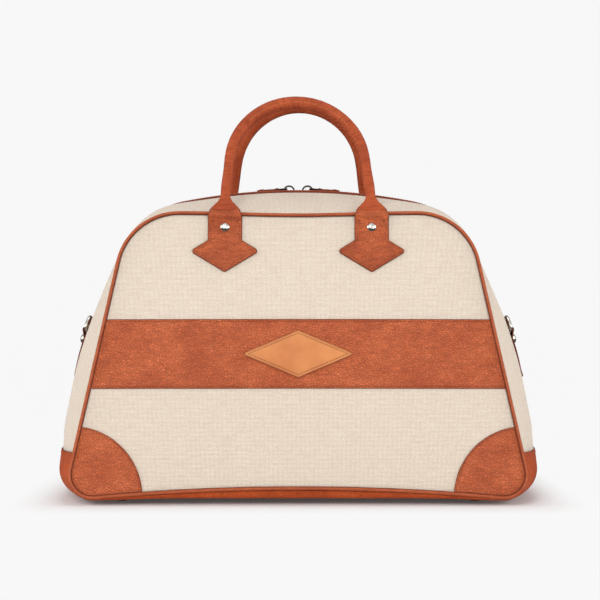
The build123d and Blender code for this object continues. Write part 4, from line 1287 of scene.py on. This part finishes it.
def makeStrap(hand, sign):
    s = levelAt(strap["bar"], 0)
    out, origin = bagNormal(sign * s, 0), bagPoint(s * sign, 0)
    up = (bagPoint(sign * (s - 0.01), 0) - bagPoint(sign * (s + 0.01), 0)).normalized()
    bar = origin + out * strap["stand"]
    corners = []
    for k in range(9):
        z = strap["foot"] + (strap["outerTop"] - strap["foot"]) * k / 8
        lift = strap["curl"][hand] * max(0.0, 1 - k / 1.6) ** 1.5 + strap["filler"] * smoothStep(k / 8)
        corners.append(bagSkin(sign * levelAt(z, 0), 0, 1.5 * strap["layer"] + lift))
    for k in range(9):
        angle = radians(-30 + 240 * k / 8)
        corners.append(bar + (out * cos(angle) + up * sin(angle)) * strap["wrap"])
    for z in strap["innerLevels"]:
        lift = strap["filler"] * 0.5 * smoothStep((z - 124) / 40)
        corners.append(bagSkin(sign * levelAt(z * mm, 0), 0, 0.5 * strap["layer"] + lift))
    path = smoothPath(corners, 1.2 * mm)
    lengths = [0.0]
    for a, b in zip(path, path[1:]):
        lengths.append(lengths[-1] + (b - a).length)
    stations = []
    for i, centre in enumerate(path):
        along = (path[min(i + 1, len(path) - 1)] - path[max(i - 1, 0)]).normalized()
        across = Vector((0, 1, 0))
        normal = across.cross(along).normalized()
        half = roundEnd(strap["half"], strap["round"], min(lengths[i], lengths[-1] - lengths[i]))
        stations.append((centre, across, normal, half, strap["layer"] / 2))
    piece = tubeAlong(f"ring_strap_{hand}", stations, power=7)
    finishPiece(piece, "bag", "leather", trimLeather, f"ring_tab_{hand}")
    edge, reach = strap["half"] - strap["seamIn"], strap["round"] - strap["seamIn"]
    top, low = strap["seamTop"], strap["foot"] + strap["round"]
    rise = [(top - (top - low) * k / 24, -edge) for k in range(25)]
    turn = [(low - reach * sin(pi * k / 16), (edge - reach) * (-1 if k < 8 else 1) - reach * cos(pi * k / 16))
            for k in range(1, 16)]
    seam = []
    for z, y in rise + turn + [(z, -y) for z, y in reversed(rise)]:
        lift = strap["curl"][hand] * max(0.0, 1 - (z - strap["foot"]) / strap["curlOver"]) ** 1.5
        lift += strap["filler"] * smoothStep((z - strap["foot"]) / strap["fillOver"])
        level = sign * levelAt(z, 0)
        seam.append((bagSkin(level, 0, 2 * strap["layer"] + lift) + Vector((0, y, 0)), bagNormal(level, 0)))
    sewLines(f"ring_strap_stitches_{hand}", [seam], "bag", tanThread, strap["thread"])


for hand, sign in hands:
    makeStrap(hand, sign)
say("ring straps are on")


# leather zip pulls
pull = {
    "half": 3.7 * mm, "thick": 1.1 * mm, "round": 3.4 * mm, "stitch": 1.3 * mm, "eye": 1.95 * mm, "neck": 3 * mm,
    "taper": 4 * mm, "sunk": 0.02 * mm, "thread": (1.9, 1.4, 0.32),
}


def makePull(hand, sign):
    low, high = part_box(f"pull_{hand}")
    start = Vector((low.x if sign > 0 else high.x, 0, high.z - pull["eye"]))
    end = Vector((high.x if sign > 0 else low.x, 0, low.z + pull["thick"]))
    length = (end - start).length
    along = (end - start).normalized()
    across = Vector((0, 1, 0))
    normal = across.cross(along).normalized()
    if normal.z < 0:
        normal.negate()
    stations = []
    for k in range(31):
        d = length * k / 30
        half = roundEnd(pull["half"], pull["round"], length - d)
        if d < pull["neck"]:
            half *= 0.86 + 0.14 * smoothStep(d / pull["neck"])
        thick = pull["thick"] + (pull["eye"] - pull["thick"]) * (1 - smoothStep((d - pull["eye"]) / pull["taper"]))
        thick *= sqrt(max(0.05, 1 - max(0.0, 1 - d / pull["eye"]) ** 2))
        stations.append((start + along * d, across, normal, half, thick))
    piece = tubeAlong(f"leather_pull_{hand}", stations, power=6)
    finishPiece(piece, f"pull_{hand}", "leather", zipShadedLeather, f"pull_{hand}")
    seams = []
    for y in (-1, 1):
        edge = start + normal * (pull["thick"] - pull["sunk"]) + across * y * (pull["half"] - pull["stitch"])
        seams.append([(edge + along * length * (0.4 + 0.42 * k / 11), normal) for k in range(12)])
    sewLines(f"pull_stitches_{hand}", seams, f"pull_{hand}", tanThread, pull["thread"])


for hand, sign in hands:
    makePull(hand, sign)
say("zip pulls are on")


# seams of the canvas under the ring straps
sideSeam = {"half": 2.8 * mm, "low": 48 * mm, "high": 126 * mm, "lift": 0.1 * mm, "thread": (3.4, 2.5, 0.5)}
lines = []
for sign in (1, -1):
    for y in (-sideSeam["half"], sideSeam["half"]):
        levels = [levelAt(sideSeam["low"] + (sideSeam["high"] - sideSeam["low"]) * k / 24, 0) for k in range(25)]
        lines.append(skinLine([(sign * s, shareAt(s, y)) for s in levels], sideSeam["lift"]))
sewLines("side_seam_stitches", lines, "bag", tanThread, sideSeam["thread"])


# hardware and hidden parts keep the solids' own shapes
finishes = {"handle_rivets": nickel, "rivet_washers": nickel, "feet": nickel, "foot_nuts": nickel,
            "lining": liningCloth, "base_board": fibreBoard}
for part, material in (("slider", darkNickel), ("pull_link", darkNickel), ("pull_rivet", nickel), ("ring", nickel),
                       ("tab_stud", nickel)):
    finishes.update({f"{part}_{hand}": material for hand, _ in hands})
for word, _ in sides:
    finishes.update({f"zip_teeth_{word}": darkNickel, f"handle_core_{word}": cottonRope})
for name, material in finishes.items():
    node = nodes[name]
    if not node.material_slots:
        node.data.materials.append(material)
    for holder in node.material_slots:
        holder.material = material
say("hardware is polished")


def plain(bounds):
    return [[float(c) for c in corner] for corner in bounds]


{"cad": plain(cadBounds), "visual": plain(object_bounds())}
